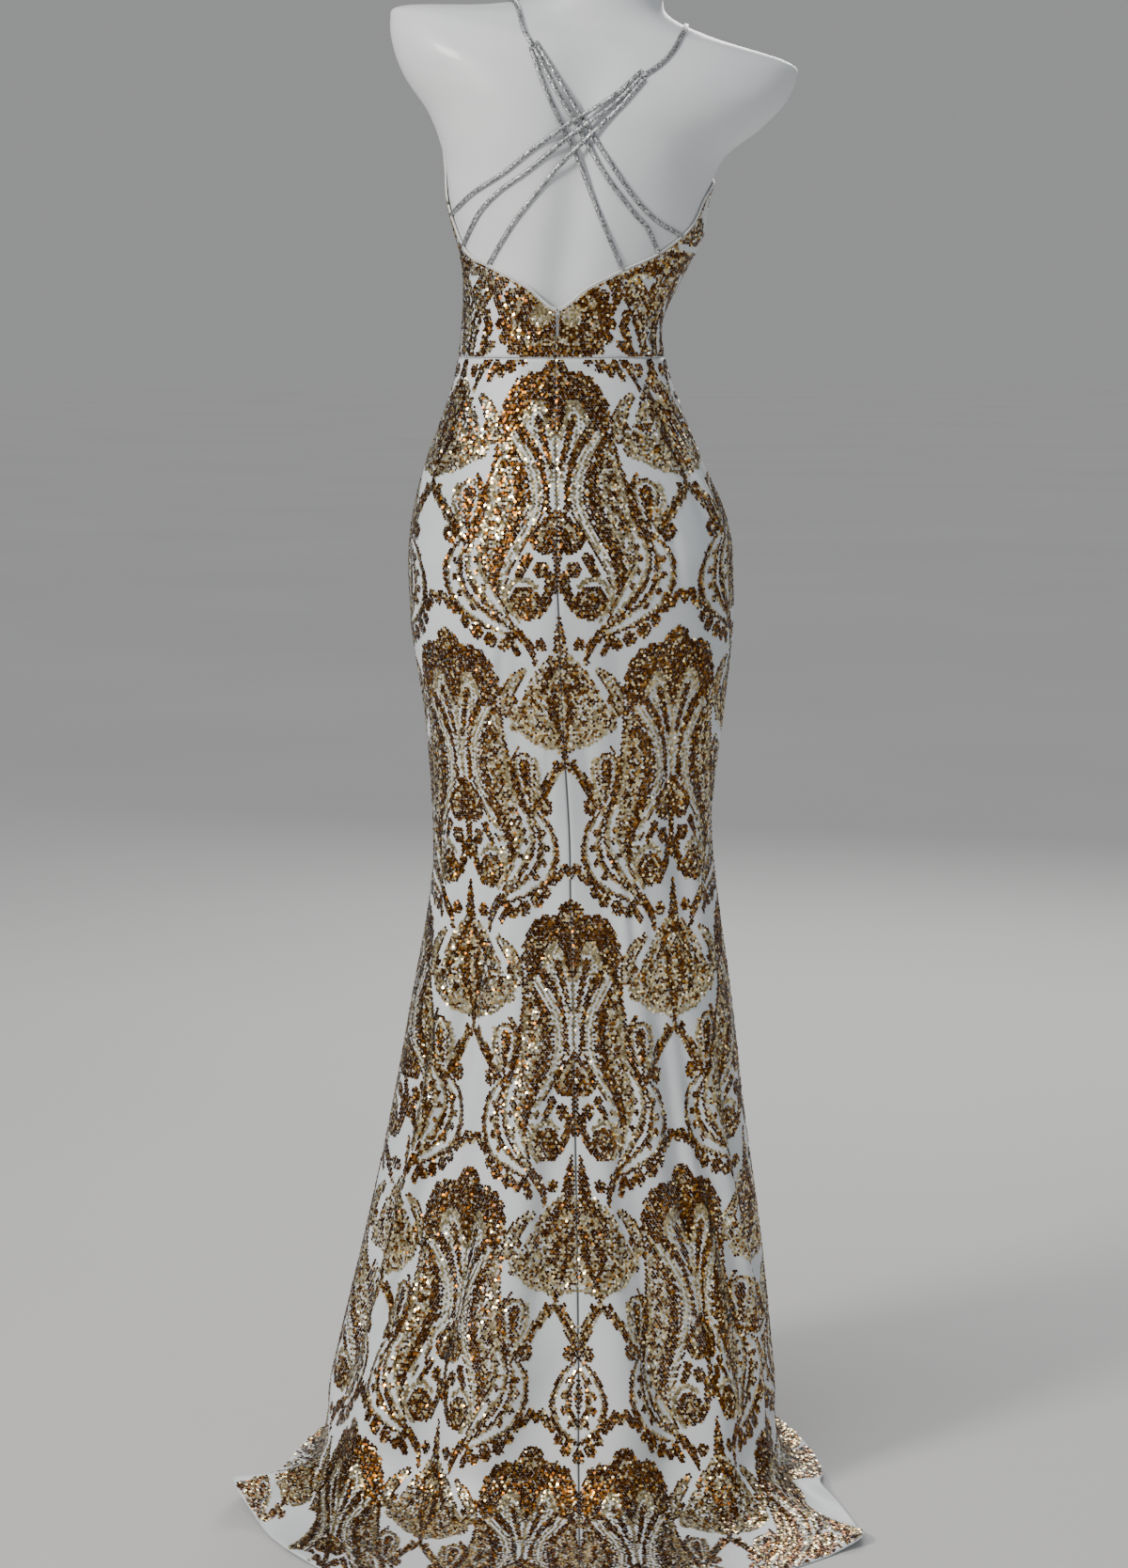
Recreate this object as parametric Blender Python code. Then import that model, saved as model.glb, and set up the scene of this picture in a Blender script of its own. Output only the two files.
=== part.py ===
"""Evening gown with a sweep train, standing on a limbless dress form.

Metres, +Z up. The wearer's front faces -Y and the wearer's left is +X, so the open back and the
train face +Y. The origin is the centre of the stand's underside, on the floor.

Every piece of cloth lies on one surface. Above the waist seam it is a stack of rings that leans
and rolls with the figure; below it the rings carry flutes, and near the floor each profile turns
outwards and lies on the floor as far as the hem. A "turn" is the angle round the figure in
degrees: 0 at the centre back, positive towards the wearer's left, 180 at the centre front.
"""

import math
from collections import namedtuple

import bmesh
import bpy
import numpy as np
from mathutils import Matrix, Vector
from mathutils.bvhtree import BVHTree

# Cloth and clearances
CLOTH = 0.0016           # wall of the sequinned cloth with its backing
SEAM = 0.0004            # gap left between two pieces that meet
REST = 0.0003            # gap under what lies on something
FORM_INSET = 0.0052      # dress form's surface, inside the cloth's outer face
WAIST = 1.215            # height of the waist seam
SIDE = 88.0              # turn of the side seams

# Bindings, straps and zip
BINDING_RADIUS = 0.0012
BINDING_GAP = 0.0009     # from the cloth's edge to the binding
BINDING_END = 0.9        # turn by which each binding stops short of a seam
STRAP_RADIUS = 0.0018
STRAP_CLEAR = 0.0010     # from the form's back to a strap that lies on it
TACK_SIZE = (0.0125, 0.0055, 0.0042)      # across the straps, along them, out from the body
TACK_GAP = 0.0011        # from a tack to the end of a strap
TAPE_WIDTH, TAPE_WALL, TAPE_END = 0.022, 0.0010, 1.020
TAPE_BEHIND = 0.0016     # gap between the tape and the cloth in front of it
SLIDER_SIZE = (0.0046, 0.0026, 0.0070)
BAIL_RADIUS, BAIL_WIRE = 0.0014, 0.00045
PULL_LENGTH, PULL_WIDTH, PULL_WALL = 0.0235, 0.0034, 0.0010
PULL_BAR, PULL_WINDOW = 0.0005, 0.0020    # radius of the bar the pull turns on, height of its window

# Dress form and stand
FORM_FOOT, FORM_TOP = 0.800, 1.640
BASE_RADIUS, BASE_HEIGHT, BASE_BEVEL = 0.165, 0.010, 0.003
POLE_RADIUS, FLANGE_RADIUS, FLANGE_HEIGHT = 0.0125, 0.048, 0.006
ROLL, ROLL_FROM, ROLL_TO = math.radians(8.2), 1.220, 1.400    # the shoulders' roll and where it grows
SPINE_DEPTH, SPINE_WIDTH = 0.009, 0.022

# The figure's rings, as the cloth's outer face, from the floor to the neck; square is how far a
# ring's ends are blunter than an ellipse's
Section = namedtuple("Section", "height centre left right back front square")
SECTIONS = [
    Section(0.000, -0.016, 0.277, 0.217, 0.205, 0.270, 0.00),
    Section(0.090, -0.015, 0.273, 0.217, 0.183, 0.256, 0.00),
    Section(0.150, -0.015, 0.260, 0.212, 0.170, 0.240, 0.00),
    Section(0.280, -0.014, 0.228, 0.199, 0.148, 0.207, 0.00),
    Section(0.400, -0.012, 0.200, 0.184, 0.130, 0.178, 0.00),
    Section(0.530, -0.010, 0.174, 0.171, 0.113, 0.152, 0.00),
    Section(0.650, -0.007, 0.150, 0.157, 0.101, 0.134, 0.00),
    Section(0.714, -0.006, 0.146, 0.152, 0.099, 0.128, 0.00),
    Section(0.836, 0.001, 0.147, 0.171, 0.112, 0.126, 0.00),
    Section(0.945, 0.005, 0.158, 0.185, 0.128, 0.124, 0.00),
    Section(1.000, 0.007, 0.158, 0.186, 0.127, 0.120, 0.00),
    Section(1.050, 0.007, 0.153, 0.178, 0.117, 0.115, 0.00),
    Section(1.100, 0.008, 0.140, 0.157, 0.103, 0.108, 0.00),
    Section(1.166, 0.009, 0.115, 0.131, 0.085, 0.096, 0.00),
    Section(1.215, 0.009, 0.102, 0.115, 0.076, 0.090, 0.00),
    Section(1.250, 0.008, 0.099, 0.111, 0.076, 0.093, 0.00),
    Section(1.304, 0.001, 0.106, 0.124, 0.083, 0.112, 0.00),
    Section(1.362, -0.008, 0.132, 0.140, 0.091, 0.137, 0.00),
    Section(1.400, -0.011, 0.140, 0.143, 0.094, 0.134, 0.00),
    Section(1.446, -0.014, 0.160, 0.160, 0.096, 0.112, 0.00),
    Section(1.480, -0.020, 0.192, 0.192, 0.093, 0.096, 0.15),
    Section(1.510, -0.027, 0.211, 0.211, 0.085, 0.084, 0.30),
    Section(1.535, -0.031, 0.217, 0.217, 0.072, 0.070, 0.30),
    Section(1.550, -0.033, 0.203, 0.203, 0.060, 0.060, 0.30),
    Section(1.561, -0.036, 0.130, 0.130, 0.055, 0.057, 0.15),
    Section(1.575, -0.039, 0.078, 0.078, 0.054, 0.058, 0.00),
    Section(1.600, -0.044, 0.064, 0.064, 0.053, 0.061, 0.00),
    Section(1.640, -0.050, 0.062, 0.062, 0.050, 0.064, 0.00),
]

# The neckline, by turn: the open back's V, the underarm and the plain front
Neckline = namedtuple("Neckline", "turn height")
NECKLINE = [
    Neckline(-180.0, 1.372),
    Neckline(-150.0, 1.418),
    Neckline(-120.0, 1.422),
    Neckline(-95.0, 1.418),
    Neckline(-79.0, 1.403),
    Neckline(-68.0, 1.375),
    Neckline(-58.0, 1.352),
    Neckline(-47.0, 1.330),
    Neckline(-30.0, 1.308),
    Neckline(-15.0, 1.288),
    Neckline(0.0, 1.264),
    Neckline(21.0, 1.286),
    Neckline(49.0, 1.305),
    Neckline(65.0, 1.312),
    Neckline(76.0, 1.323),
    Neckline(85.0, 1.347),
    Neckline(93.0, 1.380),
    Neckline(102.0, 1.410),
    Neckline(120.0, 1.422),
    Neckline(150.0, 1.418),
    Neckline(180.0, 1.372),
]

# Flutes of the skirt: a ridge or, where the depth is negative, a trough, deepest at the floor
Flute = namedtuple("Flute", "turn width start depth")
FLUTES = [
    Flute(-62.0, 9.0, 0.70, 0.010),
    Flute(-43.0, 7.0, 0.45, 0.020),
    Flute(-28.0, 7.0, 0.55, -0.012),
    Flute(-11.0, 7.0, 0.60, 0.009),
    Flute(7.0, 7.0, 0.55, -0.009),
    Flute(23.0, 8.0, 0.60, 0.011),
    Flute(39.0, 7.0, 0.65, -0.011),
    Flute(56.0, 9.0, 0.70, 0.014),
    Flute(74.0, 7.0, 0.50, -0.009),
    Flute(-76.0, 8.0, 0.50, -0.009),
    Flute(112.0, 11.0, 0.60, 0.013),
    Flute(135.0, 10.0, 0.60, -0.011),
    Flute(159.0, 11.0, 0.65, 0.013),
    Flute(-170.0, 10.0, 0.60, -0.011),
    Flute(-145.0, 12.0, 0.60, 0.013),
    Flute(-119.0, 10.0, 0.60, -0.010),
]

# The hem as it lies: where it is on the floor, how far it lifts, and how high the cloth turns out
Hem = namedtuple("Hem", "turn side behind lift break_height")
HEM = [
    Hem(-180.0, 0.000, -0.305, 0.000, 0.060),
    Hem(-150.0, -0.140, -0.270, 0.000, 0.060),
    Hem(-120.0, -0.238, -0.165, 0.004, 0.060),
    Hem(-105.0, -0.267, -0.093, 0.002, 0.060),
    Hem(-95.0, -0.280, -0.032, 0.000, 0.070),
    Hem(-86.0, -0.284, 0.029, 0.004, 0.080),
    Hem(-78.0, -0.277, 0.080, 0.010, 0.090),
    Hem(-69.0, -0.296, 0.135, 0.002, 0.095),
    Hem(-61.0, -0.308, 0.190, 0.000, 0.095),
    Hem(-54.0, -0.311, 0.236, 0.010, 0.090),
    Hem(-47.0, -0.280, 0.268, 0.002, 0.080),
    Hem(-38.0, -0.235, 0.308, 0.000, 0.070),
    Hem(-25.0, -0.165, 0.363, 0.004, 0.065),
    Hem(-12.0, -0.090, 0.402, 0.000, 0.060),
    Hem(0.0, -0.016, 0.420, 0.003, 0.060),
    Hem(13.0, 0.075, 0.415, 0.000, 0.060),
    Hem(27.0, 0.160, 0.380, 0.004, 0.060),
    Hem(40.0, 0.232, 0.328, 0.000, 0.070),
    Hem(51.0, 0.277, 0.276, 0.003, 0.085),
    Hem(60.0, 0.303, 0.228, 0.002, 0.100),
    Hem(67.0, 0.327, 0.180, 0.012, 0.115),
    Hem(73.0, 0.352, 0.135, 0.034, 0.120),
    Hem(79.0, 0.345, 0.085, 0.012, 0.110),
    Hem(86.0, 0.315, 0.030, 0.004, 0.095),
    Hem(97.0, 0.290, -0.040, 0.014, 0.080),
    Hem(120.0, 0.262, -0.155, 0.002, 0.060),
    Hem(150.0, 0.155, -0.268, 0.000, 0.060),
    Hem(180.0, 0.000, -0.305, 0.000, 0.060),
]

# Tacks: where each lies on the form's back, and which way the back straps leave it
Tack = namedtuple("Tack", "side height run_side run_height")
TACKS = {
    "left": Tack(0.0310, 1.5300, -0.588, -0.809),
    "right": Tack(-0.0805, 1.5005, 0.829, -0.559),
}

# Back straps: the side of the tack it starts from and its place there, the turn where it is sewn
# to the neckline, and the side and height of each point that it passes between the two
BackStrap = namedtuple("BackStrap", "tack slot turn route")
BACK_STRAPS = {
    "strap_back_left_1": BackStrap("left", 1, -30.0, [
        (0.020, 1.490), (0.002, 1.450), (-0.012, 1.422), (-0.031, 1.374), (-0.047, 1.336)]),
    "strap_back_left_2": BackStrap("left", 0, -47.0, [
        (0.010, 1.490), (-0.011, 1.455), (-0.025, 1.430), (-0.045, 1.397), (-0.070, 1.365),
        (-0.087, 1.346)]),
    "strap_back_left_3": BackStrap("left", -1, -58.5, [
        (0.003, 1.494), (-0.018, 1.459), (-0.037, 1.429), (-0.055, 1.402), (-0.074, 1.376),
        (-0.096, 1.355)]),
    "strap_back_right_1": BackStrap("right", 1, 85.5, [
        (-0.050, 1.480), (-0.013, 1.457), (0.029, 1.429), (0.063, 1.403), (0.094, 1.384)]),
    "strap_back_right_2": BackStrap("right", 0, 75.0, [
        (-0.053, 1.474), (-0.019, 1.449), (0.000, 1.435), (0.039, 1.404), (0.068, 1.384),
        (0.089, 1.362)]),
    "strap_back_right_3": BackStrap("right", -1, 48.0, [
        (-0.056, 1.468), (-0.026, 1.440), (0.000, 1.415), (0.024, 1.388), (0.053, 1.352)]),
}

# Shoulder straps: the turn where each is sewn to the front neckline, and guide points over the
# shoulder on its way there from its tack
ShoulderStrap = namedtuple("ShoulderStrap", "turn guides")
SHOULDER_STRAPS = {
    "left": ShoulderStrap(149.0, [
        (0.040, 0.075, 1.550), (0.047, 0.050, 1.572), (0.055, 0.015, 1.590),
        (0.059, -0.025, 1.590), (0.062, -0.060, 1.560), (0.064, -0.100, 1.520),
        (0.066, -0.130, 1.470)]),
    "right": ShoulderStrap(-144.0, [
        (-0.096, 0.085, 1.514), (-0.112, 0.070, 1.530), (-0.128, 0.035, 1.560),
        (-0.131, -0.010, 1.565), (-0.125, -0.055, 1.545), (-0.112, -0.100, 1.500),
        (-0.101, -0.130, 1.455)]),
}

# Colours: base colour, roughness, metallic
FINISHES = {
    "gown_cloth": ((0.62, 0.50, 0.33), 0.45, 0.30),
    "binding": ((0.78, 0.78, 0.76), 0.55, 0.0),
    "strap_lurex": ((0.62, 0.63, 0.64), 0.35, 0.6),
    "zip_metal": ((0.70, 0.70, 0.69), 0.25, 1.0),
    "zip_tape": ((0.70, 0.70, 0.69), 0.80, 0.0),
    "form_white": ((0.86, 0.88, 0.90), 0.42, 0.0),
    "stand_metal": ((0.55, 0.56, 0.58), 0.30, 1.0),
}


def smooth(value):
    """0 below 0, 1 above 1, and an S-curve between."""
    value = min(max(value, 0.0), 1.0)
    return value * value * (3.0 - 2.0 * value)


class Track:
    """A smooth curve through one column of a table, by its key column."""

    def __init__(self, rows, key, column):
        self.keys = np.array([getattr(row, key) for row in rows])
        self.values = np.array([getattr(row, column) for row in rows])
        steps = np.diff(self.values) / np.diff(self.keys)
        inner = np.where(steps[1:] * steps[:-1] > 0, 0.5 * (steps[1:] + steps[:-1]), 0.0)
        self.slopes = np.concatenate([steps[:1], inner, steps[-1:]])

    def at(self, key):
        key = min(max(key, self.keys[0]), self.keys[-1])
        low = min(int(np.searchsorted(self.keys, key, side="right")) - 1, len(self.keys) - 2)
        span = self.keys[low + 1] - self.keys[low]
        t = (key - self.keys[low]) / span
        start, end = self.values[low], self.values[low + 1]
        return float(
            start * (1 + 2 * t) * (1 - t) ** 2
            + end * t * t * (3 - 2 * t)
            + span * t * (1 - t) * (self.slopes[low] * (1 - t) - self.slopes[low + 1] * t)
        )


RING = {name: Track(SECTIONS, "height", name) for name in Section._fields[1:]}
HEM_AT = {name: Track(HEM, "turn", name) for name in Hem._fields[1:]}
NECK_AT = Track(NECKLINE, "turn", "height")


def turned(turn):
    """The same turn, from -180 to 180."""
    return (turn + 180.0) % 360.0 - 180.0


def ring_point(turn, height, inset=0.0, relief=0.0):
    """A point of the figure's ring, before it leans; relief takes out the hollow of the spine."""
    angle = math.radians(turned(turn))
    sine, cosine = math.sin(angle), math.cos(angle)
    half = RING["left" if sine > 0 else "right"].at(height) - inset
    deep = RING["back" if cosine > 0 else "front"].at(height) - inset
    side = half * math.copysign(abs(sine) ** (1.0 - RING["square"].at(height)), sine)
    groove = relief * math.exp(-((side / SPINE_WIDTH) ** 2)) if cosine > 0 else 0.0
    return Vector((RING["centre"].at(height) + side, deep * cosine - groove, height))


def leaned(point):
    """Rolls a ring of the upper body towards the wearer's right."""
    roll = ROLL * smooth((point.z - ROLL_FROM) / (ROLL_TO - ROLL_FROM))
    centre = RING["centre"].at(point.z)
    side = point.x - centre
    return Vector((centre + side * math.cos(roll), point.y, point.z + side * math.sin(roll)))


def bodice_point(turn, fall, inset=0.0):
    """A point of the bodice: fall is 0 at the neckline and 1 at the waist seam."""
    top, foot = NECK_AT.at(turned(turn)), WAIST + SEAM / 2
    return leaned(ring_point(turn, top + (foot - top) * fall, inset))


def off_neckline(turn, gap):
    """A point off the neckline, square to it and in line with the cloth."""
    edge = bodice_point(turn, 0.0, CLOTH / 2)
    run = (bodice_point(turn + 1.0, 0.0) - bodice_point(turn - 1.0, 0.0)).normalized()
    down = bodice_point(turn, 0.05) - bodice_point(turn, 0.0)
    down -= run * down.dot(run)
    return edge - down.normalized() * gap


def hanging_point(turn, height, inset=0.0):
    """A point of the skirt above the floor, with its flutes."""
    point = ring_point(turn, height, inset)
    push = 0.0
    for flute in FLUTES:
        away = turned(turn - flute.turn) / flute.width
        if abs(away) < 3.0 and height < flute.start:
            push += flute.depth * smooth(1.0 - height / flute.start) * math.exp(-away * away)
    angle = math.radians(turn)
    return point + push * Vector((math.sin(angle), math.cos(angle), 0.0))


def skirt_point(turn, fall, inset=0.0):
    """A point of the skirt: fall is 0 at the waist seam, 1 where the cloth turns out, 2 at the hem."""
    hem = {name: track.at(turned(turn)) for name, track in HEM_AT.items()}
    top = WAIST - SEAM / 2
    if fall <= 1.0:
        return hanging_point(turn, top + (hem["break_height"] - top) * fall, inset)
    t = fall - 1.0
    floor = CLOTH + REST
    start = hanging_point(turn, hem["break_height"], inset)
    corner = hanging_point(turn, 0.0, inset)
    end = Vector((hem["side"], hem["behind"], floor + hem["lift"]))
    lying = corner.lerp(end, 0.4)
    corner.z, lying.z = floor + 0.1 * hem["break_height"], floor + 0.7 * hem["lift"]
    return (
        start * (1 - t) ** 3
        + corner * 3 * t * (1 - t) ** 2
        + lying * 3 * t * t * (1 - t)
        + end * t**3
    )


def finish(name):
    """The material of that name, made on first use."""
    if name in bpy.data.materials:
        return bpy.data.materials[name]
    colour, roughness, metallic = FINISHES[name]
    material = bpy.data.materials.new(name)
    material.use_nodes = True
    shader = material.node_tree.nodes["Principled BSDF"]
    shader.inputs["Base Color"].default_value = (*colour, 1.0)
    shader.inputs["Roughness"].default_value = roughness
    shader.inputs["Metallic"].default_value = metallic
    material.diffuse_color = (*colour, 1.0)
    return material


def placed(name, mesh, collection, material):
    """A mesh as an object of the collection."""
    mesh.materials.append(finish(material))
    mesh.shade_smooth()
    obj = bpy.data.objects.new(name, mesh)
    collection.objects.link(obj)
    return obj


def outward(point_at, turn, fall):
    """The cloth's outward direction at a point of its surface, the same for both sides of a seam."""
    step = 0.01
    across = point_at(turn + 40 * step, fall) - point_at(turn - 40 * step, fall)
    down = point_at(turn, fall + step) - point_at(turn, max(fall - step, 0.0))
    return across.cross(down).normalized()


def sheet(name, point_at, turns, falls, collection, material, wall=CLOTH):
    """A walled panel of cloth over a grid of turns and falls, its side edges half a seam short."""
    shell = bmesh.new()
    bmesh.ops.create_grid(shell, x_segments=len(turns) - 1, y_segments=len(falls) - 1, size=1.0)
    inner = {}
    for vertex in shell.verts:
        column = round((vertex.co.x + 1.0) / 2.0 * (len(turns) - 1))
        row = round((vertex.co.y + 1.0) / 2.0 * (len(falls) - 1))
        turn, fall = turns[column], falls[row]
        point = point_at(turn, fall)
        normal = outward(point_at, turn, min(fall, falls[-1] - 0.01))
        if column in (0, len(turns) - 1):
            inward = point_at(turns[1 if column == 0 else -2], fall) - point
            point += inward.normalized() * SEAM / 2
        vertex.co = point
        inner[vertex] = point - normal * wall
    grown = bmesh.ops.extrude_face_region(shell, geom=shell.faces[:], use_keep_orig=True)
    places = {tuple(vertex.co): place for vertex, place in inner.items()}
    for vertex in [item for item in grown["geom"] if isinstance(item, bmesh.types.BMVert)]:
        vertex.co = places[tuple(vertex.co)]
    bmesh.ops.recalc_face_normals(shell, faces=shell.faces)
    mesh = bpy.data.meshes.new(name)
    shell.to_mesh(mesh)
    shell.free()
    obj = placed(name, mesh, collection, material)
    mesh.set_sharp_from_angle(angle=math.radians(50))
    return obj


def tube(name, points, radius, collection, material, resolution=1):
    """A closed tube along a polyline."""
    curve = bpy.data.curves.new(name, "CURVE")
    curve.dimensions = "3D"
    curve.bevel_depth = radius
    curve.bevel_resolution = resolution
    curve.use_fill_caps = True
    spline = curve.splines.new("POLY")
    spline.points.add(len(points) - 1)
    for target, point in zip(spline.points, points):
        target.co = (*point, 1.0)
    curve.materials.append(finish(material))
    obj = bpy.data.objects.new(name, curve)
    collection.objects.link(obj)
    return obj


def as_mesh(obj):
    """The curve object made a mesh object of the same name and place, its caps welded."""
    graph = bpy.context.evaluated_depsgraph_get()
    mesh = bpy.data.meshes.new_from_object(obj.evaluated_get(graph))
    welded = bmesh.new()
    welded.from_mesh(mesh)
    bmesh.ops.remove_doubles(welded, verts=welded.verts, dist=1e-5)
    welded.to_mesh(mesh)
    welded.free()
    name, place, collection = obj.name, obj.matrix_world.copy(), obj.users_collection[0]
    bpy.data.objects.remove(obj, do_unlink=True)
    made = bpy.data.objects.new(name, mesh)
    made.matrix_world = place
    collection.objects.link(made)
    return made


def through(points, count):
    """Points at even steps along a smooth curve through the given ones."""
    points = [Vector(point) for point in points]
    ends = [2 * points[0] - points[1]] + points + [2 * points[-1] - points[-2]]
    dense = []
    for first, start, end, last in zip(ends, ends[1:], ends[2:], ends[3:]):
        for step in range(12):
            t = step / 12
            dense.append(
                0.5 * (2 * start + (end - first) * t
                       + (2 * first - 5 * start + 4 * end - last) * t * t
                       + (3 * start - first - 3 * end + last) * t**3)
            )
    dense.append(points[-1])
    lengths = np.cumsum([0.0] + [(b - a).length for a, b in zip(dense, dense[1:])])
    wanted = np.linspace(0.0, lengths[-1], count)
    columns = [np.interp(wanted, lengths, [p[axis] for p in dense]) for axis in range(len(dense[0]))]
    return [Vector(values) for values in zip(*columns)]


def stretched(along, out):
    """Pulls a line taut over what it rests on: the upper hull of out against along."""
    hull = []
    for here in zip(along, out):
        while len(hull) > 1:
            (a, ya), (b, yb) = hull[-2], hull[-1]
            if (yb - ya) * (here[0] - a) > (here[1] - ya) * (b - a):
                break
            hull.pop()
        hull.append(here)
    pulled = np.interp(along, [x for x, _ in hull], [y for _, y in hull])
    for _ in range(3):
        pulled[1:-1] = (pulled[:-2] + 2 * pulled[1:-1] + pulled[2:]) / 4
    return pulled


def make_form(collection):
    """The dress form: torso, shoulder stubs and neck in one smooth body, cut flat below the hips."""
    columns, rows = 32, 34
    heights = [FORM_FOOT + (FORM_TOP - FORM_FOOT) * row / rows for row in range(rows + 1)]
    shoulder = [s.height for s in SECTIONS if s.height > 1.53 and s.height < FORM_TOP]
    heights = sorted(h for h in heights if h < 1.53) + shoulder + [FORM_TOP]
    body = bmesh.new()
    bmesh.ops.create_cone(
        body, cap_ends=True, segments=columns, radius1=1.0, radius2=1.0, depth=1.0
    )
    sides = [edge for edge in body.edges if abs(edge.verts[0].co.z - edge.verts[1].co.z) > 0.5]
    bmesh.ops.subdivide_edges(body, edges=sides, cuts=len(heights) - 2, use_grid_fill=True)
    for vertex in body.verts:
        row = round((vertex.co.z + 0.5) * (len(heights) - 1))
        turn = math.degrees(math.atan2(vertex.co.x, vertex.co.y))
        relief = SPINE_DEPTH * smooth((heights[row] - 1.10) / 0.12)
        relief *= 1.0 - smooth((heights[row] - 1.50) / 0.05)
        vertex.co = leaned(ring_point(turn, heights[row], FORM_INSET, relief))
    mesh = bpy.data.meshes.new("form_torso")
    body.to_mesh(mesh)
    body.free()
    form = placed("form_torso", mesh, collection, "form_white")
    mesh.set_sharp_from_angle(angle=math.radians(50))
    return form


def make_stand(collection):
    """A flat round base, a pole and the flange that carries the form."""
    def disc(name, radius, low, high, bevel):
        mesh = bpy.data.meshes.new(name)
        disc_mesh = bmesh.new()
        bmesh.ops.create_cone(
            disc_mesh, cap_ends=True, segments=40, radius1=radius, radius2=radius, depth=high - low
        )
        rims = [edge for edge in disc_mesh.edges if edge.verts[0].co.z * edge.verts[1].co.z > 0]
        if bevel:
            bmesh.ops.bevel(
                disc_mesh, geom=rims, offset=bevel, segments=2, profile=0.5,
                affect="EDGES", material=-1,
            )
        bmesh.ops.translate(disc_mesh, verts=disc_mesh.verts, vec=(0.0, 0.0, (low + high) / 2))
        disc_mesh.to_mesh(mesh)
        disc_mesh.free()
        obj = placed(name, mesh, collection, "stand_metal")
        mesh.set_sharp_from_angle(angle=math.radians(40))
        return obj

    flange_foot = FORM_FOOT - REST - FLANGE_HEIGHT
    disc("stand_base", BASE_RADIUS, 0.0, BASE_HEIGHT, BASE_BEVEL)
    disc("stand_pole", POLE_RADIUS, BASE_HEIGHT + REST, flange_foot - REST, 0.0)
    disc("stand_flange", FLANGE_RADIUS, flange_foot, FORM_FOOT - REST, 0.0015)


def spaced(start, end, count):
    """count + 1 numbers at even steps from start to end."""
    return [start + (end - start) * step / count for step in range(count + 1)]


def make_gown(collection):
    """The six panels of the gown, and the binding round its neckline."""
    bodice_falls = spaced(0.0, 1.0, 6)
    skirt_falls = spaced(0.0, 0.3, 9)[:-1] + spaced(0.3, 1.0, 8)[:-1] + spaced(1.0, 2.0, 7)
    spans = {
        "back_left": (0.0, SIDE, 16),
        "back_right": (-SIDE, 0.0, 16),
        "front": (SIDE, 360.0 - SIDE, 20),
    }
    for side, (start, end, columns) in spans.items():
        turns = spaced(start, end, columns)
        sheet("bodice_" + side, bodice_point, turns, bodice_falls, collection, "gown_cloth")
        sheet("skirt_" + side, skirt_point, turns, skirt_falls, collection, "gown_cloth")
        turns[0] += BINDING_END
        turns[-1] -= BINDING_END
        edge = [off_neckline(turn, BINDING_GAP + BINDING_RADIUS) for turn in turns]
        tube("neck_binding_" + side, edge, BINDING_RADIUS, collection, "binding")


def make_straps(collection, form):
    """Six back straps, two shoulder straps and the tacks that join them over each shoulder."""
    skin = BVHTree.FromObject(form, bpy.context.evaluated_depsgraph_get())
    clear = STRAP_RADIUS + STRAP_CLEAR
    neck_gap = BINDING_GAP + 2 * BINDING_RADIUS + SEAM + 0.8 * STRAP_RADIUS
    crossed, over = [], 2 * STRAP_RADIUS + 2 * SEAM    # the left straps lie under the right ones

    def on_back(side, height, gap=0.0):
        """How far back a point lies that is a gap off the form's back, there."""
        spot, normal, _, _ = skin.ray_cast(Vector((side, 1.0, height)), Vector((0.0, -1.0, 0.0)))
        return spot.y + gap / max(normal.y, 0.4) if spot else 0.0

    frames = {}
    for side, tack in TACKS.items():
        spot = Vector((tack.side, on_back(tack.side, tack.height), tack.height))
        normal = skin.find_nearest(spot)[1]
        along = Vector((tack.run_side, 0.0, tack.run_height))
        along = (along - normal * along.dot(normal)).normalized()
        frame = Matrix((along.cross(normal), along, normal)).transposed().to_4x4()
        frame.translation = spot + normal * (TACK_SIZE[2] / 2 + STRAP_CLEAR)
        frames[side] = frame
        block = bmesh.new()
        bmesh.ops.create_cube(block, size=1.0)
        bmesh.ops.scale(block, vec=TACK_SIZE, verts=block.verts)
        bmesh.ops.bevel(
            block, geom=block.edges[:], offset=0.0009, segments=2, profile=0.5,
            affect="EDGES", material=-1,
        )
        mesh = bpy.data.meshes.new("strap_tack_" + side)
        block.to_mesh(mesh)
        block.free()
        placed("strap_tack_" + side, mesh, collection, "strap_lurex").matrix_world = frame

    reach = TACK_SIZE[1] / 2 + TACK_GAP
    for name, strap in BACK_STRAPS.items():
        start = frames[strap.tack] @ Vector((strap.slot * over, reach, 0.0))
        end = off_neckline(strap.turn, neck_gap)
        line = through([(start.x, start.z)] + strap.route + [(end.x, end.z)], 61)
        along = np.cumsum([0.0] + [(b - a).length for a, b in zip(line, line[1:])])
        out = np.array([on_back(point.x, point.y, clear) for point in line])
        for index, point in enumerate(line):
            for side, back, height in crossed:
                apart = (point - Vector((side, height))).length
                if strap.tack == "right" and apart < over:
                    out[index] = max(out[index], back + math.sqrt(over**2 - apart**2))
        out[0], out[-1] = start.y, end.y
        out = stretched(along, out)
        points = [Vector((p.x, y, p.y)) for p, y in zip(line, out)]
        if strap.tack == "left":
            crossed += points
        tube(name, points[::3], STRAP_RADIUS, collection, "strap_lurex")

    for side, strap in SHOULDER_STRAPS.items():
        start = frames[side] @ Vector((0.0, -reach, 0.0))
        end = off_neckline(strap.turn, neck_gap)
        points = [start]
        for guide in through([start] + strap.guides + [end], 24)[1:-1]:
            spot, normal, _, _ = skin.find_nearest(guide)
            points.append(spot + normal * (clear + REST))
        tube("strap_shoulder_" + side, points + [end], STRAP_RADIUS, collection, "strap_lurex")


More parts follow.
